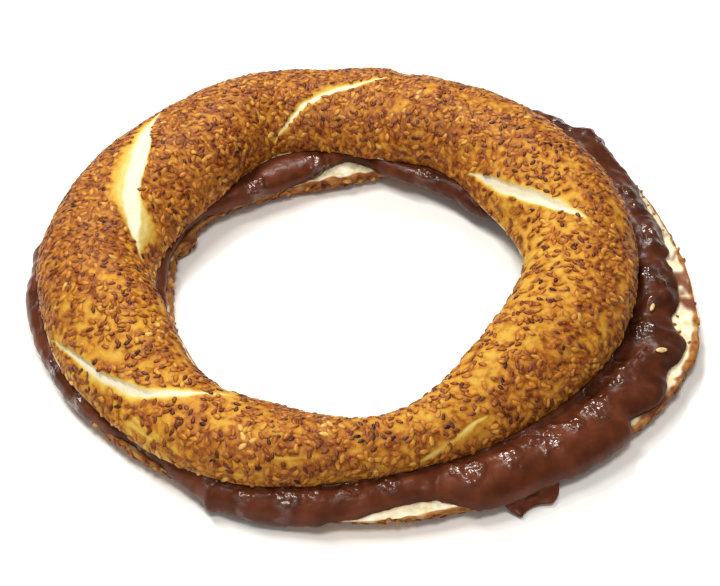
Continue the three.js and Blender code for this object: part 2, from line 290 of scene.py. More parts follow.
# The section: a round whose points lie closer along the crust's arc than along the cut.
circle = add_node(
    dough_tree, "GeometryNodeCurvePrimitiveCircle", {"Resolution": given["Columns"], "Radius": 1.0}
)
factor = add_node(dough_tree, "GeometryNodeSplineParameter").outputs["Factor"]
on_arc = add_node(dough_tree, "ShaderNodeMapRange", {
    "Value": factor, "From Min": 0.0, "From Max": given["Arc share"],
    "To Min": given["Arc from"], "To Max": given["Arc to"],
})
arc = add_node(dough_tree, "ShaderNodeMath", {0: given["Arc from"], 1: given["Arc to"]}, operation="SUBTRACT")
rest = add_node(dough_tree, "ShaderNodeMath", {0: arc, 1: 360.0}, operation="SUBTRACT")
on_cut = add_node(dough_tree, "ShaderNodeMapRange", {
    "Value": factor, "From Min": given["Arc share"], "From Max": 1.0, "To Min": 0.0, "To Max": rest,
})
section_angle = add_node(dough_tree, "ShaderNodeMath", {0: on_arc, 1: on_cut}, operation="ADD")
section = add_node(
    dough_tree, "GeometryNodeStoreNamedAttribute",
    {"Geometry": circle, "Name": "section", "Value": section_angle}, data_type="FLOAT", domain="POINT",
)
stored = add_node(dough_tree, "GeometryNodeInputNamedAttribute", {"Name": "section"}, data_type="FLOAT")
angle = add_node(dough_tree, "ShaderNodeMath", {0: stored}, operation="RADIANS")
side = add_node(dough_tree, "ShaderNodeMath", {0: angle}, operation="COSINE")
height = add_node(dough_tree, "ShaderNodeMath", {0: angle}, operation="SINE")
depth = add_node(dough_tree, "ShaderNodeMath", {0: height, 1: -1.0}, operation="MULTIPLY")
spot = add_node(dough_tree, "ShaderNodeCombineXYZ", {0: side, 1: depth})
section = add_node(dough_tree, "GeometryNodeSetPosition", {"Geometry": section, "Position": spot})
ring = add_node(dough_tree, "GeometryNodeCurveToMesh", {"Curve": path, "Profile Curve": section})
if "Scale" in ring.inputs:
    dough_tree.links.new(half.outputs["Attribute"], ring.inputs["Scale"])

# The creases: two strands side by side, whose centres are apart, and a floor that limits the depth.
seam = add_node(dough_tree, "GeometryNodeInputNamedAttribute", {"Name": "seam"}, data_type="FLOAT")
crease = add_node(dough_tree, "GeometryNodeInputNamedAttribute", {"Name": "crease"}, data_type="FLOAT")
from_seam = add_node(dough_tree, "ShaderNodeMath", {0: stored, 1: seam}, operation="SUBTRACT")
from_seam = add_node(dough_tree, "ShaderNodeMath", {0: from_seam}, operation="RADIANS")
aside = add_node(dough_tree, "ShaderNodeMath", {0: from_seam}, operation="SINE")
aside = add_node(dough_tree, "ShaderNodeMath", {0: aside}, operation="ABSOLUTE")
aside = add_node(dough_tree, "ShaderNodeMath", {0: aside, 1: given["Strand offset"]}, operation="MULTIPLY")
along = add_node(dough_tree, "ShaderNodeMath", {0: from_seam}, operation="COSINE")
along = add_node(dough_tree, "ShaderNodeMath", {0: along, 1: given["Strand offset"]}, operation="MULTIPLY")
along = add_node(dough_tree, "ShaderNodeMath", {0: along, 1: 2.0}, operation="POWER")
reach = add_node(dough_tree, "ShaderNodeMath", {0: 1.0, 1: along}, operation="SUBTRACT")
reach = add_node(dough_tree, "ShaderNodeMath", {0: reach}, operation="SQRT")
strand = add_node(dough_tree, "ShaderNodeMath", {0: aside, 1: reach}, operation="ADD")
whole = add_node(dough_tree, "ShaderNodeMath", {0: 1.0, 1: given["Strand offset"]}, operation="ADD")
strand = add_node(dough_tree, "ShaderNodeMath", {0: strand, 1: whole}, operation="DIVIDE")
floor_share = add_node(dough_tree, "ShaderNodeMath", {0: 1.0, 1: crease}, operation="SUBTRACT")
strand = add_node(dough_tree, "ShaderNodeMath", {0: strand, 1: floor_share}, operation="MAXIMUM")
middle = add_node(
    dough_tree, "GeometryNodeInputNamedAttribute", {"Name": "middle"}, data_type="FLOAT_VECTOR"
)
outwards = add_node(dough_tree, "ShaderNodeVectorMath", {0: place, 1: middle}, operation="SUBTRACT")
outwards = add_node(dough_tree, "ShaderNodeVectorMath", {0: outwards, "Scale": strand}, operation="SCALE")
shift = add_node(
    dough_tree, "GeometryNodeInputNamedAttribute", {"Name": "shift"}, data_type="FLOAT_VECTOR"
)
spot = add_node(dough_tree, "ShaderNodeVectorMath", {0: middle, 1: outwards}, operation="ADD")
spot = add_node(dough_tree, "ShaderNodeVectorMath", {0: spot, 1: shift}, operation="ADD")
ring = add_node(dough_tree, "GeometryNodeSetPosition", {"Geometry": ring, "Position": spot})

# Squash about the section's level, then cut at the two levels.
axes = add_node(dough_tree, "ShaderNodeSeparateXYZ", {0: place}).outputs
height = add_node(dough_tree, "ShaderNodeMath", {0: axes[2], 1: given["Level"]}, operation="SUBTRACT")
height = add_node(dough_tree, "ShaderNodeMath", {0: height, 1: given["Squash"]}, operation="MULTIPLY")
height = add_node(dough_tree, "ShaderNodeMath", {0: height, 1: given["Level"]}, operation="ADD")
height = add_node(dough_tree, "ShaderNodeMath", {0: height, 1: given["Low"]}, operation="MAXIMUM")
height = add_node(dough_tree, "ShaderNodeMath", {0: height, 1: given["High"]}, operation="MINIMUM")
spot = add_node(dough_tree, "ShaderNodeCombineXYZ", {0: axes[0], 1: axes[1], 2: height})
ring = add_node(dough_tree, "GeometryNodeSetPosition", {"Geometry": ring, "Position": spot})
end_tree(dough_tree, ring)
print("dough tree:", len(dough_tree.nodes), "nodes")


# %% Numbers that a mesh carries
def read_attribute(mesh, name):
    values = np.zeros(len(mesh.vertices), np.float32)
    mesh.attributes[name].data.foreach_get("value", values)
    return values.astype(float)


def write_attribute(mesh, name, values):
    mesh.attributes.new(name, "FLOAT", "POINT").data.foreach_set("value", values.astype(np.float32))


def read_points(mesh):
    points = np.zeros(len(mesh.vertices) * 3, np.float32)
    mesh.vertices.foreach_get("co", points)
    return points.reshape(-1, 3).astype(float) / MM


def write_points(mesh, points):
    mesh.vertices.foreach_set("co", (points * MM).astype(np.float32).ravel())
    mesh.update()


# %% Sweep a half ring
def path_mesh(size, rows):
    """A round line of vertices with the numbers that the tree reads at each of them."""
    theta = np.arange(rows) * 360 / rows
    mean = size["radius"][0]
    points = ring_point(size["centre"], theta, mean, size["level"]) * MM
    mesh = bpy.data.meshes.new("ring path")
    mesh.from_pydata(points.tolist(), [(row, (row + 1) % rows) for row in range(rows)], [])
    opening = np.clip(smooth_through(SEAM_OPENINGS, theta), 0, 1)
    write_attribute(mesh, "around", theta / 360)
    write_attribute(mesh, "half", wave_at(size["half"], theta) * MM)
    write_attribute(mesh, "seam", seam_angle(theta))
    write_attribute(mesh, "crease", CLOSED_DEPTH + (OPEN_DEPTH - CLOSED_DEPTH) * opening)
    shift = ring_point((0, 0), theta, wave_at(size["radius"], theta) - mean, 0) * MM
    mesh.attributes.new("shift", "FLOAT_VECTOR", "POINT").data.foreach_set(
        "vector", shift.astype(np.float32).ravel()
    )
    return mesh


def sweep_ring(size, name, low, high, rows, columns, arc, arc_share, material):
    return run_tree(
        dough_tree, path_mesh(size, rows), name, Columns=columns, Arc_from=float(arc[0]),
        Arc_to=float(arc[1]), Arc_share=arc_share, Strand_offset=STRAND_OFFSET, Level=size["level"] * MM,
        Squash=size["squash"], Low=low * MM, High=high * MM, Material=material,
    )


# %% [markdown]
# ## Bread: crust, crumb and torn dough
# The ring is dipped in molasses water and bakes to a satin golden brown, while dough that tears open in the
# oven stays pale and matt, with yellow where it only stretched. The cut shows cream crumb with small pores.
# One tree makes all three from two attributes: bake, from 0 at torn dough to 1 at full crust, and cut.
# Crust has an IOR near 1.45 like sugar glaze, and its blisters are 0.3 to 2 mm across.


# %% Baked dough
def noise_scale(size):
    """The scale of a noise whose lumps are size mm across, on Object coordinates, which are in metres."""
    return 1 / (size * MM)


def fill_stops(ramp_node, stops):
    """Gives a ramp its stops, as (position, hex colour)."""
    entries = ramp_node.color_ramp.elements
    while len(entries) < len(stops):
        entries.new(0.5)
    for entry, (position, colour) in zip(entries, stops):
        entry.position = position
        entry.color = linear(colour)


def new_material(name):
    """A material whose tree holds only a Principled shader, its output and Object coordinates."""
    material = bpy.data.materials.new(name)
    material.use_nodes = True
    tree = material.node_tree
    tree.nodes.clear()
    shader = tree.nodes.new("ShaderNodeBsdfPrincipled")
    add_node(tree, "ShaderNodeOutputMaterial", {"Surface": shader})
    return material, tree, shader, add_node(tree, "ShaderNodeTexCoord").outputs["Object"]


def toast_in_patches(tree, place, colour):
    """Scorches a colour in spots of 1 to 3 mm, which lie over crust and seeds alike. Returns a socket."""
    spots = add_node(tree, "ShaderNodeTexNoise", {"Vector": place, "Scale": noise_scale(2.1), "Detail": 5.0})
    tint = add_node(tree, "ShaderNodeValToRGB", {"Fac": spots})
    fill_stops(tint, SCORCH)
    return add_node(
        tree, "ShaderNodeMix", {"Factor": 1.0, "A": colour, "B": tint}, data_type="RGBA", blend_type="MULTIPLY"
    ).outputs["Result"]


def baked_dough(name, crust_stops, crumb_stops, crust_roughness):
    material, tree, shader, place = new_material(name)
    bake = add_node(tree, "ShaderNodeAttribute", attribute_name="bake").outputs["Fac"]
    cut = add_node(tree, "ShaderNodeAttribute", attribute_name="cut").outputs["Fac"]
    film = add_node(tree, "ShaderNodeAttribute", attribute_name="film").outputs["Fac"]
    # Browning is uneven in patches of about a centimetre and again in freckles of 2 mm. Round each seed the
    # bake is higher, partly amber glaze where sugar gathers and partly painted shade in the crevices between seeds.
    patches = add_node(tree, "ShaderNodeTexNoise", {"Vector": place, "Scale": noise_scale(7), "Detail": 3.0})
    freckles = add_node(tree, "ShaderNodeTexNoise", {"Vector": place, "Scale": noise_scale(2), "Detail": 4.0})
    uneven = add_node(tree, "ShaderNodeMath", {0: patches, 1: freckles}, operation="ADD")
    uneven = add_node(tree, "ShaderNodeMath", {0: uneven, 1: 1.0}, operation="SUBTRACT")
    uneven = add_node(tree, "ShaderNodeMath", {0: uneven, 1: bake}, operation="MULTIPLY")
    browned = add_node(tree, "ShaderNodeMath", {0: uneven, 1: 0.9, 2: bake}, operation="MULTIPLY_ADD")
    crust = add_node(tree, "ShaderNodeValToRGB", {"Fac": browned})
    fill_stops(crust, crust_stops)
    scorched = toast_in_patches(tree, place, crust)
    crust = add_node(tree, "ShaderNodeMix", {
        "Factor": add_node(tree, "ShaderNodeMapRange", {"Value": bake, "From Min": 0.15, "From Max": 0.4}),
        "A": crust, "B": scorched,
    }, data_type="RGBA").outputs["Result"]
    pores = add_node(tree, "ShaderNodeTexVoronoi", {"Vector": place, "Scale": noise_scale(1.6)})
    crumb_noise = add_node(tree, "ShaderNodeTexNoise", {"Vector": place, "Scale": noise_scale(3), "Detail": 5.0})
    crumb = add_node(tree, "ShaderNodeValToRGB", {"Fac": crumb_noise})
    fill_stops(crumb, crumb_stops)
    colour = add_node(tree, "ShaderNodeMix", {"Factor": cut, "A": crust, "B": crumb}, data_type="RGBA")
    # A thin film of chocolate, where the spread was wiped over the crumb.
    colour = add_node(
        tree, "ShaderNodeMix", {"Factor": film, "A": colour.outputs["Result"], "B": linear("#6E3A24")},
        data_type="RGBA",
    )
    add = tree.links.new
    add(colour.outputs["Result"], shader.inputs["Base Color"])
    glazed = add_node(tree, "ShaderNodeMapRange", {
        "Value": bake, "From Min": 0.2, "From Max": 0.9, "To Min": 0.85, "To Max": crust_roughness,
    })
    rough = add_node(tree, "ShaderNodeMix", {"Factor": cut, "A": glazed, "B": 0.9}, data_type="FLOAT")
    add(rough.outputs["Result"], shader.inputs["Roughness"])
    shader.inputs["IOR"].default_value = 1.45
    shader.inputs["Specular IOR Level"].default_value = 0.2
    # Blisters and wrinkles on the crust, and pores in the crumb.
    blisters = add_node(tree, "ShaderNodeTexNoise", {"Vector": place, "Scale": noise_scale(1.2), "Detail": 6.0})
    relief = add_node(tree, "ShaderNodeMix", {"Factor": cut, "A": blisters, "B": pores}, data_type="FLOAT")
    bump = add_node(
        tree, "ShaderNodeBump", {"Strength": 0.5, "Distance": 0.5 * MM, "Height": relief.outputs["Result"]}
    )
    add(bump.outputs["Normal"], shader.inputs["Normal"])
    return material


SCORCH = [(0.36, "#FFFFFF"), (0.5, "#F2E6D4"), (0.6, "#D2B18C"), (0.72, "#A87E5A")]
CRUMB = [(0.3, "#CDB88C"), (0.5, "#E4D8B6"), (0.7, "#F3EDD8")]
TOP_CRUST = [
    (0.0, "#DBD2B8"), (0.06, "#D6CAA0"), (0.11, "#D0BC7A"), (0.18, "#C9AA4E"), (0.42, "#C08E2F"),
    (0.62, "#AA7025"),
    (0.82, "#884F1F"), (1.0, "#683A1A"),
]
BASE_CRUST = [(0.0, "#DCC79B"), (0.3, "#B07E44"), (0.7, "#85532A"), (1.0, "#5F371D")]
glazed_crust = baked_dough("Molasses-glazed baked crust", TOP_CRUST, CRUMB, 0.4)
plain_crust = baked_dough("Matt baked crust", BASE_CRUST, CRUMB, 0.6)
print("bread finishes:", glazed_crust.name, "and", plain_crust.name)

# %% [markdown]
# ## Tears in the top ring
# Where the dough outgrew its skin, the seam tore. A tear has a white floor, a lip where the seeded skin
# ends sharply, and a slope on the other side that goes through yellow back to brown. Each tear is a list
# along the ring of its floor's half width and the widths of its yellow bands, towards the outer side and
# towards the hole. It lies on the seam, and noise makes its edges ragged.

# %% The tears
TEARS = [
    {"lip": -1, "line": [
        (4, 0, 0.3, 0.3), (8, 0.4, 1.4, 0.8), (12, 1.1, 2.2, 1), (18, 1.7, 1.6, 1.2), (24, 1.8, 1.2, 1.8),
        (29, 1.7, 1, 2.4), (33, 1.2, 1, 1.8), (38, 0.3, 0.8, 1), (43, 0, 0.2, 0.2),
    ]},
    {"lip": 1, "line": [
        (76, 0, 0.2, 0.4), (82, 0.3, 1.4, 1), (86, 0.5, 2, 1), (92, 0.8, 2.4, 1), (98, 0.7, 2, 1),
        (103, 0.4, 1.6, 1.2), (108, 0.2, 1.2, 1), (113, 0, 0.2, 0.2),
    ], "aside": [(78, 1.5), (84, 1), (90, 0)]},
    {"lip": 1, "line": [
        (133, 0, 0.5, 0.8), (138, 0.8, 3, 1.2), (144, 1.5, 4, 0.9), (150, 2, 6, 0.8), (156, 1.9, 7, 0.8),
        (162, 1.7, 7.5, 0.9), (166, 1.6, 6.5, 3), (170, 1.6, 4, 9), (174, 1, 2.4, 10), (178, 0.3, 1.6, 7),
        (182, 0, 1, 1.5), (186, 0, 0.2, 0.5),
    ]},
    {"lip": 1, "line": [
        (202, 0, 0.3, 0.3), (205, 0.4, 1.2, 0.8), (210, 0.7, 1.8, 0.9), (215, 0.8, 2.4, 1), (221, 0.9, 3, 1.4),
        (226, 0.7, 3, 1.6), (231, 0.4, 2.6, 2), (236, 0.25, 2, 2), (241, 0.15, 1.2, 1.2), (245, 0, 0.2, 0.2),
    ], "aside": [(205, -3.3), (213, -2.8), (221, -2.3), (226, -1.4), (231, 0), (237, 0.4), (242, 3)]},
    {"lip": 1, "least": 0.3, "line": [
        (283, 0, 0.3, 0.3), (286, 0, 0.9, 0.9), (289, 0, 1.6, 1.1), (293, 0, 1, 0.9), (297, 0, 1.8, 1.2),
        (300, 0, 1, 0.8), (304, 0, 0.3, 0.3),
    ]},
]
STRAND_END = 0.5
TEAR_DEPTH = 0.9
LIP_HEIGHT = 0.5
GOLDEN = 0.3
FULL_TEAR = 1.0


def torn(points, theta, psi, half):
    """How baked the skin is at each point, from 0 in a tear to 1, and how far it stands out in mm."""
    crease = seam_angle(theta) % 180
    per_degree = 0.93 * half * math.pi / 180
    distance = wave_at(TOP["radius"], theta) + half * np.cos(np.radians(psi))
    climb = (seam_angle(theta + 0.5) - seam_angle(theta - 0.5)) * per_degree
    across = (psi - crease) * per_degree / np.hypot(1, climb / (distance * math.pi / 180))
    across = across + 0.35 * lumps(points, 3.5, 11) + 0.3 * lumps(points, 1.3, 12)
    bake = np.ones(len(points))
    height = np.zeros(len(points))
    for tear in TEARS:
        at, floor, low, high = np.array(tear["line"]).T
        along = (theta - at[0]) % 360 + at[0]
        here = along <= at[-1]
        ends = ramp(along, at[0], at[0] + 2) * ramp(-along, -at[-1], 2 - at[-1]) * here
        width, low, high = (np.interp(along, at, column) for column in (floor, low, high))
        width = width * (1 + 0.2 * lumps(points, 5, 13))
        aside = across - np.interp(along, *np.array(tear.get("aside", [(0, 0)])).T)
        yellow = np.where(aside > 0, high, low)
        beyond = np.abs(aside) - width
        share = np.clip(beyond / np.maximum(yellow, 0.2), tear.get("least", 0), 1)
        share = np.maximum(share, GOLDEN * ramp(beyond, 0, 1.4) * (yellow > 1.4))
        bake = np.where(here, np.minimum(bake, 1 - ends * (1 - share)), bake)
        towards_lip = aside * tear["lip"]
        slope = low if tear["lip"] > 0 else high
        open_share = ramp(width, 0, FULL_TEAR) * ends
        wall = ramp(towards_lip, width - 0.1, width + 0.35)
        lip = LIP_HEIGHT * np.exp(-np.maximum(towards_lip - width, 0) / 1.8) * wall
        slope_end = width + np.maximum(slope, 0.8)
        sunk = -TEAR_DEPTH * (1 - wall) * (1 - ramp(-towards_lip, width * 0.4, slope_end))
        height += open_share * (sunk + lip)
    return bake, height


def stretch_marks(theta, psi, half):
    """Fine pale lines along the ring on its near outer side, where the skin stretched: 0 to 1."""
    along = np.stack([theta * 0.09, psi * half * 0.0147, np.zeros(len(theta))], axis=-1)
    lines = ramp(lumps(along, 1, 25), 0.1, 0.7)
    return lines * ramp(theta, 222, 232) * ramp(-theta, -282, -270) * ramp(psi, 2, 14) * ramp(-psi, -62, -44)


print(len(TEARS), "tears")

# %% [markdown]
# ## The top ring
# The swept ring gets the lumps that dough has at three sizes, and the tears. Seeds later grow where the
# attribute "seeds" says: fewer on the near side, none in the tears or where golden patches lie bare.

# %% The top ring
TOP_ROWS, TOP_COLUMNS = 640, 142
SEED_DENSITY = [
    (0, 0.85), (20, 0.9), (60, 0.9), (90, 1.05), (150, 1.05), (180, 1), (215, 0.9), (250, 0.9), (280, 0.85),
    (310, 0.8), (340, 0.75), (355, 0.8),
]


def outward(theta, psi, squash):
    """The direction out of a section at psi, for sections squashed in height."""
    side, up = np.cos(np.radians(psi)), np.sin(np.radians(psi)) / squash
    length = np.hypot(side, up)
    angle = np.radians(theta)
    return np.stack([side * np.cos(angle), side * np.sin(angle), up], axis=-1) / length[:, None]


def tidy_attributes(mesh, keep):
    """Removes the attributes that only the making needed."""
    for name in [entry.name for entry in mesh.attributes if not entry.is_internal]:
        if name not in keep | {"material_index"} and not mesh.attributes[name].is_required:
            mesh.attributes.remove(mesh.attributes[name])


top = sweep_ring(
    TOP, "top crust", TOP_CUT, 99, TOP_ROWS, TOP_COLUMNS, (190, -10), 0.9, glazed_crust
)
points = read_points(top)
theta = 360 * read_attribute(top, "around")
psi = read_attribute(top, "section")
half = wave_at(TOP["half"], theta)
skin = points[:, 2] > TOP_CUT + 0.01
bake, height = torn(points, theta, psi, half)
height += 0.4 * lumps(points, 15, 1) + 0.22 * lumps(points, 6, 2) + 0.07 * lumps(points, 2.4, 3)
height += STRAND_END * (ramp(theta, 77, 78.5) - ramp(theta, 78.5, 90))
height -= STRAND_END * np.exp(-((theta - 75) / 2) ** 2)
moved = points + outward(theta, psi, TOP["squash"]) * (height * skin)[:, None]
moved[:, 2] = np.maximum(moved[:, 2], TOP_CUT)
cut_face = ~skin
moved[cut_face, 2] += np.clip(0.3 * lumps(points[cut_face], 2.5, 4), 0, 1)
write_points(top, moved)
patches = ramp(lumps(points, 5, 21) + 0.6 * lumps(points, 2.4, 22), -0.72, -0.4)
# The far left is covered more evenly.
patches = np.maximum(patches, 0.9 * ramp(theta, 80, 100) * ramp(-theta, -200, -180))
marks = stretch_marks(theta, psi, half)
bake = bake * (1 - 0.45 * marks)
# The right side browned less on its slope towards the hole, and fewer seeds stuck there.
inner_right = ramp(psi, 60, 100) * ramp(np.cos(np.radians(theta + 25)), 0.35, 0.75)
bake = bake * (1 - 0.3 * inner_right)
# The near left is golden in patches.
golden = ramp(theta, 188, 206) * ramp(-theta, -268, -250) * ramp(lumps(points, 6, 47), -0.4, 0.3)
bake = bake * (1 - 0.3 * golden)
# On the left the skin's lower edge is paler, and so are the seeds on it.
pale = ramp(-moved[:, 2], -TOP_CUT - 4, -TOP_CUT - 1) * ramp(theta, 160, 175) * ramp(-theta, -262, -245)
bake = bake * (1 - 0.5 * pale * ramp(lumps(points, 3, 41) + 0.6 * lumps(points, 1.4, 42), -0.2, 0.5))
seeds = np.interp(theta, *np.array(SEED_DENSITY + [(360, 0.75)]).T) * patches
seeds = seeds * ramp(bake + 0.5 * pale + 0.3 * inner_right + 0.3 * golden, 0.72, 0.98) * (1 - 0.6 * marks)
seeds = seeds * (1.1 - 0.5 * inner_right) * (1 - 0.25 * golden)
seeds = np.clip(seeds, 0, 1) * ramp(moved[:, 2], TOP_CUT, TOP_CUT + 0.5)
write_attribute(top, "bake", bake)
write_attribute(top, "cut", cut_face * 1.0)
write_attribute(top, "seeds", seeds)
write_attribute(top, "pale", pale)
tidy_attributes(top, {"bake", "cut", "seeds", "pale"})
print("top ring:", len(top.polygons), "quads, tears over", round(100 * float(np.mean(bake < 0.5)), 1), "%")

# %% [markdown]
# ## The base ring
# The base was cut from another ring: it is wider, paler and matt, with a flat underside and fewer seeds on
# its sides. Its cut face shows as cream crumb where the spread stops short of the edge.

# %% The base ring
BASE_ROWS, BASE_COLUMNS = 640, 142
WIPED = [
    (0, 0.95), (2.5, 0.9), (4.5, 0.1), (6.5, 0.1), (7.5, 0.8), (9, 0.1), (12, 0.15), (14, 0.6), (17, 0.35),
    (20, 0.5), (24, 0.3), (30, 0.3), (40, 0), (218, 0), (226, 0.4), (238, 0.5), (246, 0), (300, 0), (315, 0.6),
    (320, 0.1), (323, 0.2), (325, 0.95), (331, 0.9), (333, 0.2), (340, 0.05), (350, 0), (352, 0.1),
    (354, 0.9), (357, 0.95),
]
base = sweep_ring(
    BASE, "base crust", 0, BASE_CUT, BASE_ROWS, BASE_COLUMNS, (364, 176), 0.55, plain_crust
)
points = read_points(base)
theta = 360 * read_attribute(base, "around")
psi = read_attribute(base, "section")
skin = (points[:, 2] < BASE_CUT - 0.01) & (points[:, 2] > 0.01)
cut_face = points[:, 2] > BASE_CUT - 0.01
height = 0.3 * lumps(points, 12, 5) + 0.2 * lumps(points, 5, 6) + 0.12 * lumps(points, 2.2, 7)
height += 1.1 * np.exp(-(((theta - 343) / 4) ** 4)) * (np.cos(np.radians(psi)) > 0)
# A flake of crumb juts from the inner edge into the hole.
flake = np.exp(-(((theta - 161.5) / 3.6) ** 4)) * ramp(-np.cos(np.radians(psi)), 0.6, 0.95)
height += flake * (2.6 + 1.2 * lumps(points, 2, 44))
moved = points + outward(theta, psi, BASE["squash"]) * (height * skin)[:, None]
moved[:, 2] = np.clip(moved[:, 2], 0, BASE_CUT)
pores = np.clip(0.5 * lumps(points[cut_face], 2.6, 8) + 0.3 * lumps(points[cut_face], 1.2, 9), -0.8, 0)
moved[cut_face, 2] += pores
write_points(base, moved)
seeds = ramp(moved[:, 2], 0.8, 2) * ramp(-moved[:, 2], -BASE_CUT + 0.3, -BASE_CUT + 1)
seeds = seeds * (0.55 + 0.45 * lumps(points, 9, 23))
bake = 0.72 + 0.25 * lumps(points, 10, 24) + 0.35 * lumps(points, 3, 43)
write_attribute(base, "bake", bake - 0.35 * ramp(theta, 212, 222) * ramp(-theta, -284, -270))
# The crust shows as a brown line round the cut face, and the spread was wiped over parts of the rim.
inset = wave_at(BASE["half"], theta) * (0.97 - np.abs(np.cos(np.radians(psi))))
crumb = cut_face * ramp(inset + 0.5 * lumps(points, 2, 26), 0, 0.7)
wiped = smooth_through(WIPED, theta + 2 * lumps(points, 2, 29)) * ramp(
    lumps(points, 3, 27) + 0.8 * lumps(points, 1.2, 28), -1.1, 0
)
write_attribute(base, "cut", crumb)
write_attribute(base, "film", np.clip(wiped, 0, 1) * cut_face)
write_attribute(base, "seeds", np.clip(seeds, 0, 1))
tidy_attributes(base, {"bake", "cut", "film", "seeds"})
print("base ring:", len(base.polygons), "quads")

# %% [markdown]
# ## Sesame
# A hulled sesame seed is a flat drop about 3.3 mm long, 2.1 mm wide and 1 mm thick. The dough is pressed
# into a tray of seeds, so they lie flat at all angles, touch and overlap a little, and toast to browns of
# very different depth. Scattering them on the crust is a rule, so Geometry Nodes do it, with points kept
# apart by a Poisson disk. Each seed gets a random tone, which the material turns into its colour.

# %% The seed tree
seed_tree, given = new_tree("Sesame on crust", {
    "Spacing": FLOATS, "Density": FLOATS, "Length": FLOATS, "Width": FLOATS, "Thickness": FLOATS,
    "Taper": FLOATS, "Sink": FLOATS, "Tilt": FLOATS, "Seed": "NodeSocketInt", "Material": "NodeSocketMaterial",
})
crowd = add_node(seed_tree, "GeometryNodeInputNamedAttribute", {"Name": "seeds"}, data_type="FLOAT")
spots = add_node(seed_tree, "GeometryNodeDistributePointsOnFaces", {
    "Mesh": given["Geometry"], "Distance Min": given["Spacing"], "Density Max": given["Density"],
    "Density Factor": crowd, "Seed": given["Seed"],
}, distribute_method="POISSON")

# One seed: a ball of few faces, narrowed towards its tip and flattened.
ball = add_node(seed_tree, "GeometryNodeMeshUVSphere", {"Segments": 7, "Rings": 4, "Radius": 1.0})
place = add_node(seed_tree, "GeometryNodeInputPosition")
axes = add_node(seed_tree, "ShaderNodeSeparateXYZ", {0: place}).outputs
plan = add_node(seed_tree, "ShaderNodeCombineXYZ", {0: axes[0], 1: axes[1]})
edge = add_node(seed_tree, "ShaderNodeVectorMath", {0: plan}, operation="LENGTH").outputs["Value"]
grain = add_node(
    seed_tree, "GeometryNodeStoreNamedAttribute", {"Geometry": ball, "Name": "rim", "Value": edge},
    data_type="FLOAT", domain="POINT",
)
narrow = add_node(seed_tree, "ShaderNodeMath", {0: axes[0], 1: given["Taper"]}, operation="MULTIPLY")
narrow = add_node(seed_tree, "ShaderNodeMath", {0: 1.0, 1: narrow}, operation="SUBTRACT")
across = add_node(seed_tree, "ShaderNodeMath", {0: axes[1], 1: narrow}, operation="MULTIPLY")
drop = add_node(seed_tree, "ShaderNodeCombineXYZ", {0: axes[0], 1: across, 2: axes[2]})
span = add_node(
    seed_tree, "ShaderNodeCombineXYZ", {0: given["Length"], 1: given["Width"], 2: given["Thickness"]}
)
span = add_node(seed_tree, "ShaderNodeVectorMath", {0: span, "Scale": 0.5}, operation="SCALE")
drop = add_node(seed_tree, "ShaderNodeVectorMath", {0: drop, 1: span}, operation="MULTIPLY")
grain = add_node(seed_tree, "GeometryNodeSetPosition", {"Geometry": grain, "Position": drop})
lifted = add_node(seed_tree, "ShaderNodeMath", {0: 0.5, 1: given["Sink"]}, operation="SUBTRACT")
lifted = add_node(seed_tree, "ShaderNodeMath", {0: lifted, 1: given["Thickness"]}, operation="MULTIPLY")
lifted = add_node(seed_tree, "ShaderNodeCombineXYZ", {2: lifted})
grain = add_node(seed_tree, "GeometryNodeTransform", {"Geometry": grain, "Translation": lifted})

# Each seed is spun about the surface's normal, tipped a little and scaled.
most = add_node(seed_tree, "ShaderNodeCombineXYZ", {0: given["Tilt"], 1: given["Tilt"], 2: math.tau})
least = add_node(seed_tree, "ShaderNodeVectorMath", {0: most, 1: (-1, -1, 0)}, operation="MULTIPLY")
turn = add_node(
    seed_tree, "FunctionNodeRandomValue", {"Min": least, "Max": most, "Seed": given["Seed"]},
    data_type="FLOAT_VECTOR",
)
turn = add_node(seed_tree, "FunctionNodeEulerToRotation", {"Euler": turn})
turn = add_node(
    seed_tree, "FunctionNodeRotateRotation", {"Rotation": spots.outputs["Rotation"], "Rotate By": turn},
    rotation_space="LOCAL",
)
size = add_node(
    seed_tree, "FunctionNodeRandomValue", {"Min": 0.82, "Max": 1.1, "Seed": given["Seed"]}, data_type="FLOAT"
)
placed = add_node(seed_tree, "GeometryNodeInstanceOnPoints", {
    "Points": spots, "Instance": grain, "Rotation": turn, "Scale": size,
})
# Its tone is its own by chance, and a little its surroundings', since the oven browns in patches.
chance = add_node(seed_tree, "FunctionNodeRandomValue", {"Seed": given["Seed"]}, data_type="FLOAT")
browning = add_node(seed_tree, "ShaderNodeTexNoise", {"Scale": noise_scale(8), "Detail": 1.0})
tone = add_node(seed_tree, "ShaderNodeMath", {0: browning, 1: 0.6, 2: -0.2}, operation="MULTIPLY_ADD")
tone = add_node(seed_tree, "ShaderNodeMath", {0: chance, 1: 0.85, 2: tone}, operation="MULTIPLY_ADD")
pale = add_node(seed_tree, "GeometryNodeInputNamedAttribute", {"Name": "pale"}, data_type="FLOAT")
tone = add_node(seed_tree, "ShaderNodeMath", {0: pale, 1: 0.3, 2: tone}, operation="MULTIPLY_ADD")
placed = add_node(
    seed_tree, "GeometryNodeStoreNamedAttribute", {"Geometry": placed, "Name": "tone", "Value": tone},
    data_type="FLOAT", domain="INSTANCE",
)
end_tree(seed_tree, placed)
print("seed tree:", len(seed_tree.nodes), "nodes")
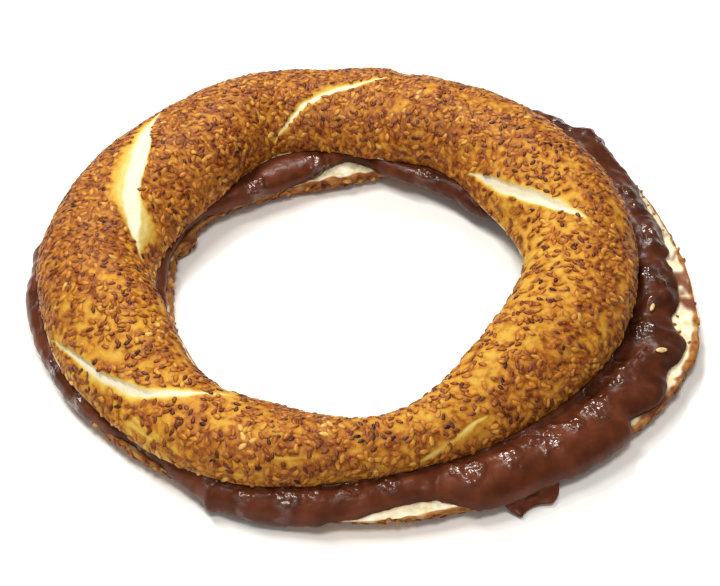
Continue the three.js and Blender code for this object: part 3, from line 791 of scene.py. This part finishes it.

# %% [markdown]
# ## Toasted hull
# Sesame hull is thin and slightly oily, so it has a soft gloss at a roughness near 0.4 and an IOR of 1.47.
# Toasting takes it from pale straw over orange brown to nearly black. A ramp over the
# seed's tone gives the share of each: most are orange brown, and few are dark or pale. Each seed is also
# lightened in its middle, a painted highlight, and darkened round its rim, partly a toasted edge and partly
# painted shade.

# %% Toasted sesame hull
hull, tree, shader, place = new_material("Toasted sesame hull")
tone = add_node(tree, "ShaderNodeAttribute", attribute_name="tone").outputs["Fac"]
rim = add_node(tree, "ShaderNodeAttribute", attribute_name="rim").outputs["Fac"]
toast = add_node(tree, "ShaderNodeValToRGB", {"Fac": tone})
fill_stops(toast, [
    (0.0, "#1E110B"), (0.05, "#351B0D"), (0.12, "#542912"), (0.3, "#784117"), (0.5, "#90551A"),
    (0.7, "#A66A22"), (0.86, "#AF7A2A"), (0.97, "#BA8A3A"), (1.0, "#C8A256"),
])
streaks = add_node(tree, "ShaderNodeTexNoise", {"Vector": place, "Scale": noise_scale(0.9), "Detail": 3.0})
# Painted highlight and shade: a seed's colour is raised by a fifth in its middle and lowered to about half round
# its rim.
shade = add_node(tree, "ShaderNodeMapRange", {
    "Value": rim, "From Min": 0.6, "From Max": 1.0, "To Min": 1.2, "To Max": 0.55,
})
shade = add_node(tree, "ShaderNodeMath", {0: streaks, 1: 0.5, 2: shade}, operation="MULTIPLY_ADD")
shade = add_node(tree, "ShaderNodeMath", {0: shade, 1: 0.25}, operation="SUBTRACT")
toast = add_node(tree, "ShaderNodeVectorMath", {0: toast, "Scale": shade}, operation="SCALE").outputs["Vector"]
tree.links.new(toast_in_patches(tree, place, toast), shader.inputs["Base Color"])
shader.inputs["Roughness"].default_value = 0.36
shader.inputs["IOR"].default_value = 1.47
shader.inputs["Specular IOR Level"].default_value = 0.22
bump = add_node(tree, "ShaderNodeBump", {"Strength": 0.4, "Distance": 0.15 * MM, "Height": streaks})
tree.links.new(bump.outputs["Normal"], shader.inputs["Normal"])

# %% Scatter the seeds
SEED_SIZE = {"Length": 3.1 * MM, "Width": 1.55 * MM, "Thickness": 0.95 * MM}
top_seeds = run_tree(
    seed_tree, top.copy(), "top seeds", Spacing=1.12 * MM, Density=0.62 / MM**2, Taper=0.3, Sink=0.5,
    Tilt=math.radians(15), Seed=5, Material=hull, **SEED_SIZE,
)
base_seeds = run_tree(
    seed_tree, base.copy(), "base seeds", Spacing=1.4 * MM, Density=0.4 / MM**2, Taper=0.3, Sink=0.45,
    Tilt=math.radians(9), Seed=9, Material=hull, **SEED_SIZE,
)
SEED_FACES = 28
for mesh, name, replaced, slot in (
    (top_seeds, "top_seeds", "simit_top", "top_crust"), (base_seeds, "base_seeds", "simit_base", "base_crust"),
):
    tidy_attributes(mesh, {"tone", "rim"})
    make_piece(name, mesh, replaced)
    print(len(mesh.polygons) // SEED_FACES, "seeds")

# %% [markdown]
# ## Glaze and painted shade round the seeds
# Dough rises round the seeds that are pressed into it, and the sugar of the molasses gathers against them
# and bakes to amber; the darkening close to each seed also stands in for the shade in the crevices between
# seeds, so it is partly painted shade. Geometry Proximity gives each point of the crust its distance from
# the nearest seed. From it, the skin is lifted a little against the seeds, and the attribute "bake" grows.

# %% Measure the distance to the seeds
gap_tree, given = new_tree("Distance to the seeds", {"Seeds": "NodeSocketObject", "Material": "NodeSocketMaterial"})
seeds_there = add_node(gap_tree, "GeometryNodeObjectInfo", {"Object": given["Seeds"]})
nearest = add_node(
    gap_tree, "GeometryNodeProximity", {"Geometry": seeds_there.outputs["Geometry"]}, target_element="FACES"
)
measured = add_node(gap_tree, "GeometryNodeStoreNamedAttribute", {
    "Geometry": given["Geometry"], "Name": "distance", "Value": nearest.outputs["Distance"],
}, data_type="FLOAT", domain="POINT")
end_tree(gap_tree, measured)


def glaze_round_seeds(mesh, name, seeds_name, material, bare, lift):
    """Browns and lifts the crust near its seeds: the browning is partly amber glaze and partly painted shade in the
    crevices between seeds. bare is the bake of crust far from any seed.
    """
    made = run_tree(gap_tree, mesh, name, Seeds=bpy.data.objects[seeds_name], Material=material)
    distance = read_attribute(made, "distance") / MM
    # Partly painted shade: the crust darkens close to each seed, for the crevices, as well as for amber glaze.
    near = 0.42 * np.exp(-((distance / 0.45) ** 2)) + 0.15 * np.exp(-((distance / 1.3) ** 2))
    bake, cut = read_attribute(made, "bake"), read_attribute(made, "cut")
    points = read_points(made)
    normal = np.zeros(len(points) * 3, np.float32)
    made.vertices.foreach_get("normal", normal)
    lifted = lift * near * (cut < 0.5) * ramp(bake, 0.5, 0.9)
    raised = points + normal.reshape(-1, 3) * lifted[:, None]
    raised[:, 2] = np.maximum(raised[:, 2], points[:, 2].min())
    write_points(made, raised)
    made.attributes["bake"].data.foreach_set("value", (bake * (bare + (1 - bare) * near)).astype(np.float32))
    tidy_attributes(made, {"bake", "cut", "film"})
    return made


top_crust = glaze_round_seeds(top, "top crust glazed", "top_seeds", glazed_crust, 0.44, 0.35)
base_crust = glaze_round_seeds(base, "base crust baked", "base_seeds", plain_crust, 0.7, 0.15)
make_piece("top_crust", top_crust, "simit_top")
make_piece("base_crust", base_crust, "simit_base")

# %% [markdown]
# ## Chocolate spread
# Spread is a thick glossy paste of sugar, fat and cocoa. Pressed between the rings it lies flat, and where
# it comes out it keeps the marks of that: a dip beside the top ring, a crest with lumps and small pits, a
# smooth rim, and on the near side a tongue that ran down to the table. The piece is one closed section
# swept round the ring in code, because both its edges wander and it has to stay between the two rings. Its
# sizes are lists of (theta, size) about its own centre.

# %% Sizes of the spread
SPREAD_CENTRE = (4.4, 0.6)
OUTER_EDGE = [
    (2.8, 84.6), (5.4, 83.8), (7.5, 85.2), (9.8, 85.2), (11.8, 85.6), (14.5, 86), (16.5, 85.6), (19.7, 85.6),
    (24, 86.8), (28, 87.8), (37, 90.7), (40, 92.6), (41.5, 92), (43.5, 94), (46, 91.4), (49, 91.2), (60, 89.5),
    (85, 84), (130, 85), (165, 92), (172, 98), (180, 98.2), (184, 98.7), (187, 98.2), (195, 96.3),
    (201, 94.7), (210, 92.9), (218, 89.8), (226, 87.2), (233, 87.4), (240, 88.8), (241.6, 90.4), (243.2, 89),
    (248, 88.6), (255, 87.2), (260, 86.4), (264, 84.9), (268, 83.2), (270, 81.8), (274, 80.2), (279, 79.6),
    (282, 80.4), (284, 82.4), (287, 84.2), (291, 84.6), (298, 84.4), (303, 84.6), (308, 85.8), (318, 87.2),
    (319.5, 86.4), (321.5, 84.4), (324, 85.4), (329, 87.8), (332.3, 87), (334, 85.6), (336.4, 86), (338.5, 87.4),
    (342, 88), (344, 87.6), (345.6, 85.4), (347.5, 83.4), (350, 83.4), (352, 84.6), (354, 85), (357, 85.2),
]
INNER_EDGE = [
    (0, 47), (25, 45.5), (39, 39.6), (56.6, 40.5), (71, 41.9), (80, 43.1), (88, 45.7), (95, 49.5),
    (99, 51.6), (106, 49.4), (114, 47.4), (120, 46.8), (133, 47.9), (145, 51.6), (155, 56.4), (165, 58), (173, 59),
    (179, 58.8), (185, 58.6), (190, 58.8), (195, 59.6), (225, 60.5), (250, 57.5), (270, 55.5), (300, 54),
    (330, 51),
]
# The crest's level, the dip beside the top ring, the rim's level, how far it curls under, how wide its
# slope is, and how that slope bends: above 1 it is round, below 1 it thins out.
CREST = [
    (0, 9.8), (30, 10.2), (60, 10.6), (120, 10.8), (183, 11), (225, 10.8), (255, 10.9), (300, 11.7), (325, 10.8),
    (345, 9.8),
]
DIP = [
    (0, 2.2), (30, 2), (60, 1.2), (183, 0.6), (240, 0.4), (275, 0.5), (300, 1), (325, 1.8), (345, 2.4),
]
DIP_WIDTH = [(0, 3.2), (45, 2.6), (70, 1.8), (183, 1), (270, 1.1), (300, 1.6), (325, 2.8), (345, 3.2)]
RIM_LEVEL = [
    (0, 6.6), (40, 7.4), (60, 7.4), (160, 7), (183, 6), (225, 5.8), (255, 4.6), (268, 6), (280, 6.4), (288, 5),
    (300, 5), (315, 5.8), (325, 6.8), (345, 6.6),
]
RIM_DROP = [
    (0, 0.6), (40, 2), (60, 2), (160, 3), (183, 3.6), (225, 4), (255, 4.2), (268, 3), (280, 0.8), (288, 3.6),
    (300, 3.4), (318, 3.6), (330, 1.2), (345, 0.6),
]
SLOPE_WIDTH = [
    (0, 9), (40, 7), (60, 6), (120, 4), (183, 5), (225, 5), (255, 6), (270, 5), (280, 5), (300, 8), (318, 8),
    (330, 8), (345, 10),
]
SLOPE_BEND = [
    (0, 0.72), (40, 0.9), (60, 1), (183, 1), (255, 1), (280, 0.9), (300, 1), (318, 1), (330, 0.8), (345, 0.7),
]
# The tongue: how far its foot reaches over the table.
TONGUE = [
    (286, 80), (289, 81.5), (291.5, 83.8), (293.2, 85), (294.2, 87.2), (295.2, 86.4), (297, 85.8), (299, 86.4),
    (300.5, 87.2), (302.4, 85.6), (303.6, 83), (305, 80),
]
TONGUE_NECK = 1.2
INNER_LEVEL, INNER_SLOPE, INNER_DROP, INNER_CURL = 8.2, 4.5, 2.6, 1.5
SPREAD_ROWS = 760
SIDE_COLUMNS, SLOPE_COLUMNS, BACK_COLUMNS, COVERED_COLUMNS, INNER_COLUMNS, FLAT_COLUMNS = 16, 22, 26, 10, 20, 6


# %% Lay the spread
def bread_gap(points, size):
    """How far each point lies outside a ring's footprint in mm, negative over it."""
    aside = points[..., :2] - size["centre"]
    theta = np.degrees(np.arctan2(aside[..., 1], aside[..., 0]))
    distance = np.hypot(aside[..., 0], aside[..., 1])
    return np.abs(distance - wave_at(size["radius"], theta)) - 0.96 * wave_at(size["half"], theta)


theta = np.arange(SPREAD_ROWS) * 360 / SPREAD_ROWS
RAGGED = [
    (0, 0.45), (35, 0.6), (43, 1.1), (50, 0.7), (183, 0.5), (215, 0.5), (255, 0.3), (270, 0.5), (300, 0.15),
    (322, 0.4), (345, 0.45),
]
ragged = smooth_through(RAGGED, theta)
at_edge = ring_point((0, 0), theta, 90, 0)
outer = smooth_through(OUTER_EDGE, theta) + ragged * (lumps(at_edge, 3.5, 31) + 0.5 * lumps(at_edge, 1.5, 30))
inner = smooth_through(INNER_EDGE, theta) + 0.5 * lumps(ring_point((0, 0), theta, 50, 0), 4, 32)
crest, dip, rim, drop, slope, bend = (
    smooth_through(pairs, theta) for pairs in (CREST, DIP, RIM_LEVEL, RIM_DROP, SLOPE_WIDTH, SLOPE_BEND)
)
# How far the top ring's side is from the spread's centre, found along each ray.
steps = np.arange(72, 100, 0.25)
rays = ring_point(SPREAD_CENTRE, theta[:, None], steps, 0)
wall = steps[np.argmax(bread_gap(rays, TOP) > 0, axis=1)]
back = np.minimum(wall - 2, outer - slope - 0.5)
tongue = smooth_through(TONGUE, theta) + 0.25 * lumps(at_edge, 2, 38)
on_tongue = ramp(theta, 286.5, 289) * ramp(-theta, -305, -303.6)

columns = []
for share in np.linspace(0, 1, SIDE_COLUMNS, endpoint=False):
    # From the foot up to the rim: a quarter round, or the tongue.
    angle = (1 - share) * math.pi / 2
    distance = outer - np.minimum(slope, drop) * (1 - math.cos(angle))
    level = rim - drop * math.sin(angle)
    neck = outer - TONGUE_NECK
    swell = math.exp(-(((1 - share) - 0.72) / 0.22) ** 2)
    down = ramp(1 - share, 0, 0.35)
    tongue_distance = outer + (neck - outer) * down + np.maximum(tongue - neck, 0) * swell
    tongue_level = rim + (0.3 - rim) * (1 - share) ** 0.8
    distance = distance + (tongue_distance - distance) * on_tongue
    level = level + (tongue_level - level) * on_tongue
    columns.append((distance, level))
for angle in np.linspace(0, math.pi / 2, SLOPE_COLUMNS, endpoint=False):
    columns.append((
        outer - slope * (1 - math.cos(angle) ** (1 / bend)), rim + (crest - rim) * math.sin(angle) ** (1 / bend)
    ))
for share in np.linspace(0, 1, BACK_COLUMNS, endpoint=False):
    columns.append((outer - slope + (back - outer + slope) * share, crest))
for share in np.linspace(0, 1, COVERED_COLUMNS, endpoint=False):
    columns.append((back + (inner + INNER_SLOPE - back) * share, crest + (TOP_CUT - crest) * share))
for angle in np.linspace(math.pi / 2, 1.5 * math.pi, INNER_COLUMNS, endpoint=False):
    tall = np.where(math.sin(angle) > 0, TOP_CUT + 0.2 - INNER_LEVEL, INNER_DROP)
    reach = np.where(math.sin(angle) > 0, INNER_SLOPE, INNER_CURL)
    columns.append((inner + reach * (1 + math.cos(angle)), INNER_LEVEL + tall * math.sin(angle)))
foot, foot_level = columns[0]
for share in np.linspace(0, 1, FLAT_COLUMNS, endpoint=False):
    start, low = inner + INNER_CURL, INNER_LEVEL - INNER_DROP
    columns.append((start + (foot - start) * share, low + (foot_level - low) * share))
distance = np.array([column[0] for column in columns]).T
level = np.array([np.broadcast_to(column[1], theta.shape) for column in columns]).T
dip_width = smooth_through(DIP_WIDTH, theta)[:, None]
beside = np.exp(-((np.maximum(distance - wall[:, None], 0) / dip_width) ** 2)) * (distance > wall[:, None] - 1)
level = level - dip[:, None] * beside * ramp(level, 8, 9.5)
points = ring_point(SPREAD_CENTRE, theta[:, None], distance, level).reshape(-1, 3)


def grid_faces(rows, columns):
    """Quads of a closed grid whose rows and columns both run round."""
    row, column = np.divmod(np.arange(rows * columns), columns)
    next_row, next_column = (row + 1) % rows, (column + 1) % columns
    corners = (row, column), (next_row, column), (next_row, next_column), (row, next_column)
    return np.stack([r * columns + c for r, c in corners], axis=1)


def closed_mesh(name, points, faces, material):
    """A smooth mesh of quads, turned so that its faces point outwards."""
    first, second, third, fourth = (points[faces[:, corner]] for corner in range(4))
    volume = np.sum(first * np.cross(second, third)) + np.sum(first * np.cross(third, fourth))
    if volume < 0:
        faces = faces[:, ::-1]
    mesh = bpy.data.meshes.new(name)
    mesh.from_pydata((points * MM).tolist(), [], faces.tolist())
    mesh.polygons.foreach_set("use_smooth", np.ones(len(faces), bool))
    mesh.materials.append(material)
    mesh.update()
    return mesh


def point_normals(points, faces):
    """Smooth normals at the points of a mesh of quads."""
    first, second, third, fourth = (points[faces[:, corner]] for corner in range(4))
    normal = np.cross(third - first, fourth - second)
    total = np.zeros_like(points)
    for corner in range(4):
        np.add.at(total, faces[:, corner], normal)
    return total / np.maximum(np.linalg.norm(total, axis=1), 1e-9)[:, None]


# Lumps and pits, which fade out on the smooth rim and grow on the right, where the knife left the paste.
faces = grid_faces(SPREAD_ROWS, len(columns))
normal = point_normals(points, faces)
around = np.repeat(theta, len(columns))
ROUGH_SIDE = [
    (0, 1.5), (40, 1.1), (60, 0.8), (183, 0.7), (255, 0.7), (285, 0.9), (300, 0.8), (325, 1), (345, 1.5),
]
FLOWED = [(0, 3), (60, 4), (183, 3), (235, 4), (255, 4.5), (275, 3.5), (290, 8), (315, 8), (335, 3)]
rough_side, flowed = smooth_through(ROUGH_SIDE, around), smooth_through(FLOWED, around)
inside_rim = ramp((np.repeat(outer, len(columns)) - distance.ravel()) / flowed, 0.1, 1)
calm = np.where(distance.ravel() > 70, 0.15 + 0.85 * inside_rim, 1)
height = 0.55 * lumps(points, 9, 33) + 0.55 * lumps(points, 4.2, 34) + 0.2 * lumps(points, 2, 35)
pits = ramp(lumps(points, 2.6, 36), 0.4, 0.8) * ramp(lumps(points, 11, 37), -0.2, 0.3)
height = (height * rough_side - 0.6 * pits) * calm
# Where the knife or the bread pulled away, the paste is scuffed, and catches the light: theta, distance, size.
SCUFFS = [
    (241, 85.5, 2.6), (247.5, 86.3, 2.6), (254, 83, 4.2), (258, 81, 3.4), (265, 78.3, 3.6), (272, 76.3, 3.2),
    (287, 75, 5),
    (296.5, 75.6, 4), (304.5, 74.2, 6), (311.5, 76.5, 3.5), (318.5, 75.4, 6), (327, 74, 4.5), (332, 73.5, 4),
    (344, 76, 5), (351.7, 77.3, 3), (359.4, 78.7, 5), (10.5, 81.5, 4.5), (20, 82.7, 3), (25, 82.1, 2.5),
    (39, 90.4, 3), (48, 88.3, 4), (70, 45, 5), (110, 50, 5), (135, 50, 4), (188, 92.5, 4), (196, 89.5, 3),
    (202, 93.9, 3.5), (211, 90.7, 4), (226, 87, 4),
]
scuffed = np.zeros(len(points))
for angle, reach, size in SCUFFS:
    away = np.linalg.norm(points[:, :2] - ring_point(SPREAD_CENTRE, angle, reach, 0)[:2], axis=1) / size
    scuffed = np.maximum(scuffed, np.exp(-(away**2)))
scuffed = ramp(scuffed + 0.3 * lumps(points, 2.4, 45), 0.35, 0.8)
height += 0.3 * scuffed * lumps(points, 1.8, 46)
# A faint fold beside the bulge, and a lump that stands up on the far right.
fold = np.exp(-(((around - 280.8 + 0.2 * (distance.ravel() - 77.8)) / 0.8) ** 2)) * (distance.ravel() > 66)
lump = np.exp(-(((around - 42) / 2) ** 2) - ((distance.ravel() - 90) / 2.2) ** 2)
height = height - 0.6 * fold + 1.2 * lump
points = points + normal * height[:, None] * (1 if normal[SIDE_COLUMNS, 0] > 0 else -1)
gap_top = bread_gap(points, TOP)
gap_base = bread_gap(points, BASE)
ceiling = np.where(gap_top < 0, TOP_CUT - 0.1, TOP_CUT - 0.1 + 1.2 * gap_top)
bottom = np.where(gap_base < 0.3, BASE_CUT + 0.05, BASE_CUT + 0.05 - 3 * (gap_base - 0.3))
points[:, 2] = np.clip(points[:, 2], bottom, np.maximum(ceiling, bottom))
points[:, 2] = np.maximum(points[:, 2], 0.25)
# Painted shade: the paste's colour is darkened in the gap beside the top ring, where the ring shades it,
# and over the right side, which lies in the ring's shadow.
painted_shade = np.exp(-((np.maximum(gap_top, 0) / np.repeat(dip_width.ravel() - 0.4, len(columns))) ** 2))
painted_shade *= smooth_through([(0, 1), (60, 0.8), (100, 0.5), (183, 0.25), (255, 0.3), (285, 0.8), (300, 1)], around)
shaded_right_side = ramp(np.cos(np.radians(around - 12)), 0.45, 0.8)
painted_shade = np.maximum(painted_shade, 0.7 * shaded_right_side)
print("spread:", len(faces), "quads")

# %% [markdown]
# ## Glossy chocolate paste
# Cocoa paste has an IOR near 1.47. Where it is scuffed it is stippled with lumps of about a millimetre, each
# with a sharp pale glint, and where it flowed it is smooth, with a roughness near 0.35. The attributes "calm"
# and "scuffed" tell them apart.

# %% Glossy chocolate paste
paste, tree, shader, place = new_material("Glossy chocolate paste")
tint = add_node(tree, "ShaderNodeTexNoise", {"Vector": place, "Scale": noise_scale(6), "Detail": 4.0})
colour = add_node(tree, "ShaderNodeValToRGB", {"Fac": tint})
fill_stops(colour, [(0.3, "#47210F"), (0.5, "#572A17"), (0.7, "#683620")])
# Painted shade: the attribute darkens the colour by up to half beside the top ring and on the right side.
painted_shade_here = add_node(tree, "ShaderNodeAttribute", attribute_name="painted_shade").outputs["Fac"]
light_share = add_node(tree, "ShaderNodeMath", {0: painted_shade_here, 1: -0.5, 2: 1.0}, operation="MULTIPLY_ADD")
colour = add_node(tree, "ShaderNodeVectorMath", {0: colour, "Scale": light_share}, operation="SCALE")
tree.links.new(colour.outputs["Vector"], shader.inputs["Base Color"])
shader.inputs["IOR"].default_value = 1.47
shader.inputs["Specular IOR Level"].default_value = 0.16
shader.inputs["Roughness"].default_value = 0.34
shader.inputs["Coat Roughness"].default_value = 0.17
shader.inputs["Coat IOR"].default_value = 1.5
calm_here = add_node(tree, "ShaderNodeAttribute", attribute_name="calm").outputs["Fac"]
scuffed_here = add_node(tree, "ShaderNodeAttribute", attribute_name="scuffed").outputs["Fac"]
stipple = add_node(tree, "ShaderNodeTexNoise", {"Vector": place, "Scale": noise_scale(2.2), "Detail": 1.0})
stipple = add_node(tree, "ShaderNodeMath", {0: stipple, 1: scuffed_here}, operation="MULTIPLY")
grain = add_node(tree, "ShaderNodeTexNoise", {"Vector": place, "Scale": noise_scale(2.5), "Detail": 6.0})
grain = add_node(tree, "ShaderNodeMath", {0: grain, 1: calm_here}, operation="MULTIPLY")
relief = add_node(tree, "ShaderNodeMath", {0: grain, 1: 0.25, 2: stipple}, operation="MULTIPLY_ADD")
tree.links.new(scuffed_here, shader.inputs["Coat Weight"])
bump = add_node(tree, "ShaderNodeBump", {"Strength": 0.8, "Distance": 1.5 * MM, "Height": relief})
tree.links.new(bump.outputs["Normal"], shader.inputs["Normal"])
tree.links.new(bump.outputs["Normal"], shader.inputs["Coat Normal"])

# %% The spread's piece
spread = closed_mesh("chocolate spread", points, faces, paste)
write_attribute(spread, "calm", calm)
write_attribute(spread, "painted_shade", painted_shade)
write_attribute(spread, "scuffed", scuffed)
make_piece("chocolate_spread_wet", spread, "chocolate_spread")

# %% [markdown]
# ## Crumbs and loose seeds
# Cutting and filling leave crumbs on the cream rim, and two untoasted seeds fell on the spread. Each is a
# ball with lumps, squashed to its size.

# %% Crumbs and loose seeds
import bmesh


def ball_mesh(name, pieces, material):
    """Lumpy balls as one mesh. Each piece is (centre, sizes, turn in degrees, lump share, seed)."""
    shape = bmesh.new()
    for centre, sizes, turn, lumpy, seed in pieces:
        made = bmesh.ops.create_icosphere(shape, subdivisions=2, radius=1)["verts"]
        unit = np.array([vertex.co for vertex in made])
        unit = unit * (1 + lumpy * lumps(unit, 0.9, seed))[:, None] * np.array(sizes) / 2
        cosine, sine = math.cos(math.radians(turn)), math.sin(math.radians(turn))
        spun = unit @ np.array([[cosine, sine, 0], [-sine, cosine, 0], [0, 0, 1]]) + centre
        for vertex, spot in zip(made, spun * MM):
            vertex.co = spot
    mesh = bpy.data.meshes.new(name)
    shape.to_mesh(mesh)
    shape.free()
    mesh.polygons.foreach_set("use_smooth", np.ones(len(mesh.polygons), bool))
    mesh.materials.append(material)
    return mesh


random = np.random.default_rng(7)
CRUMB_SPANS = [(14, 30, 14), (334, 358, 8), (222, 240, 8)]
crumbs = []
for start, end, count in CRUMB_SPANS:
    for angle in random.uniform(start, end, count):
        edge = float(smooth_through(OUTER_EDGE, angle)) + random.uniform(0.3, 1.6)
        centre = ring_point(SPREAD_CENTRE, angle, edge, BASE_CUT + 0.05)
        sizes = random.uniform(0.5, 1) * random.uniform(0.6, 1.3, 3)
        if bread_gap(centre, BASE) < -1:
            crumbs.append((centre, sizes, random.uniform(0, 180), 0.45, int(random.integers(1, 99))))
crumb_mesh = ball_mesh("crumbs", crumbs, plain_crust)
write_attribute(crumb_mesh, "bake", np.full(len(crumb_mesh.vertices), 0.45))
make_piece("crumbs", crumb_mesh)

raw_hull, tree, shader, place = new_material("Untoasted sesame hull")
streaks = add_node(tree, "ShaderNodeTexNoise", {"Vector": place, "Scale": noise_scale(0.8), "Detail": 3.0})
colour = add_node(tree, "ShaderNodeValToRGB", {"Fac": streaks})
fill_stops(colour, [(0.35, "#B79F62"), (0.65, "#DCCB92")])
tree.links.new(colour.outputs["Color"], shader.inputs["Base Color"])
shader.inputs["Roughness"].default_value = 0.45
LOOSE_SEEDS = [((80.6, -30.2), (3.3, 1.7, 0.9), 4, 0.05, 3), ((80.5, -13.2), (3.2, 1.2, 0.8), 68, 0.05, 4)]
laid = []
for (x, y), sizes, turn, lumpy, seed in LOOSE_SEEDS:
    over = np.hypot(points[:, 0] - x, points[:, 1] - y) < 0.8
    laid.append(((x, y, points[over, 2].max() + 0.2), sizes, turn, lumpy, seed))
make_piece("loose_seeds", ball_mesh("loose seeds", laid, raw_hull))

# %% [markdown]
# ## Floor and light
# A pale floor and soft studio light: one wide light above and behind on the left shapes the ring, and small
# bright ones give the spread and the seeds their sharp glints.

# %% Floor, world and lights
floor_mesh = bpy.data.meshes.new("floor")
FLOOR_HALF = 3
floor_mesh.from_pydata(
    [(x * FLOOR_HALF, y * FLOOR_HALF, 0) for x, y in ((-1, -1), (1, -1), (1, 1), (-1, 1))], [], [(0, 1, 2, 3)]
)
studio, tree, shader, place = new_material("White studio board")
shader.inputs["Base Color"].default_value = linear("#F4F3F1")
shader.inputs["Roughness"].default_value = 0.9
floor_mesh.materials.append(studio)
floor_piece = bpy.data.objects.new("floor", floor_mesh)
bpy.context.scene.collection.objects.link(floor_piece)

world = bpy.data.worlds.new("studio")
bpy.context.scene.world = world
world.use_nodes = True
world.node_tree.nodes["Background"].inputs["Color"].default_value = linear("#FFFFFF")
world.node_tree.nodes["Background"].inputs["Strength"].default_value = 0.2

LIGHTS = [
    ("broad", (-0.28, 0.05, 0.7), 0.24, 2.45),
    ("front", (-0.1, -0.6, 0.5), 0.45, 0.7),
    ("glint left", (-0.3, 0.15, 0.55), 0.05, 0.8),
    ("glint back", (-0.05, 0.45, 0.5), 0.14, 3.2),
    ("glint near", (0, -0.25, 0.66), 0.18, 2.2),
]
for name, place, size, power in LIGHTS:
    lamp = bpy.data.lights.new(name, "AREA")
    lamp.shape = "DISK"
    lamp.size = size
    lamp.energy = power
    lamp.color = linear("#FFFBF5")[:3]
    lamp_object = bpy.data.objects.new(name, lamp)
    lamp_object.location = place
    lamp_object.rotation_euler = (-Vector(place)).to_track_quat("-Z", "Y").to_euler()
    bpy.context.scene.collection.objects.link(lamp_object)
bpy.context.scene.view_settings.view_transform = "Standard"
print(len(LIGHTS), "lights")
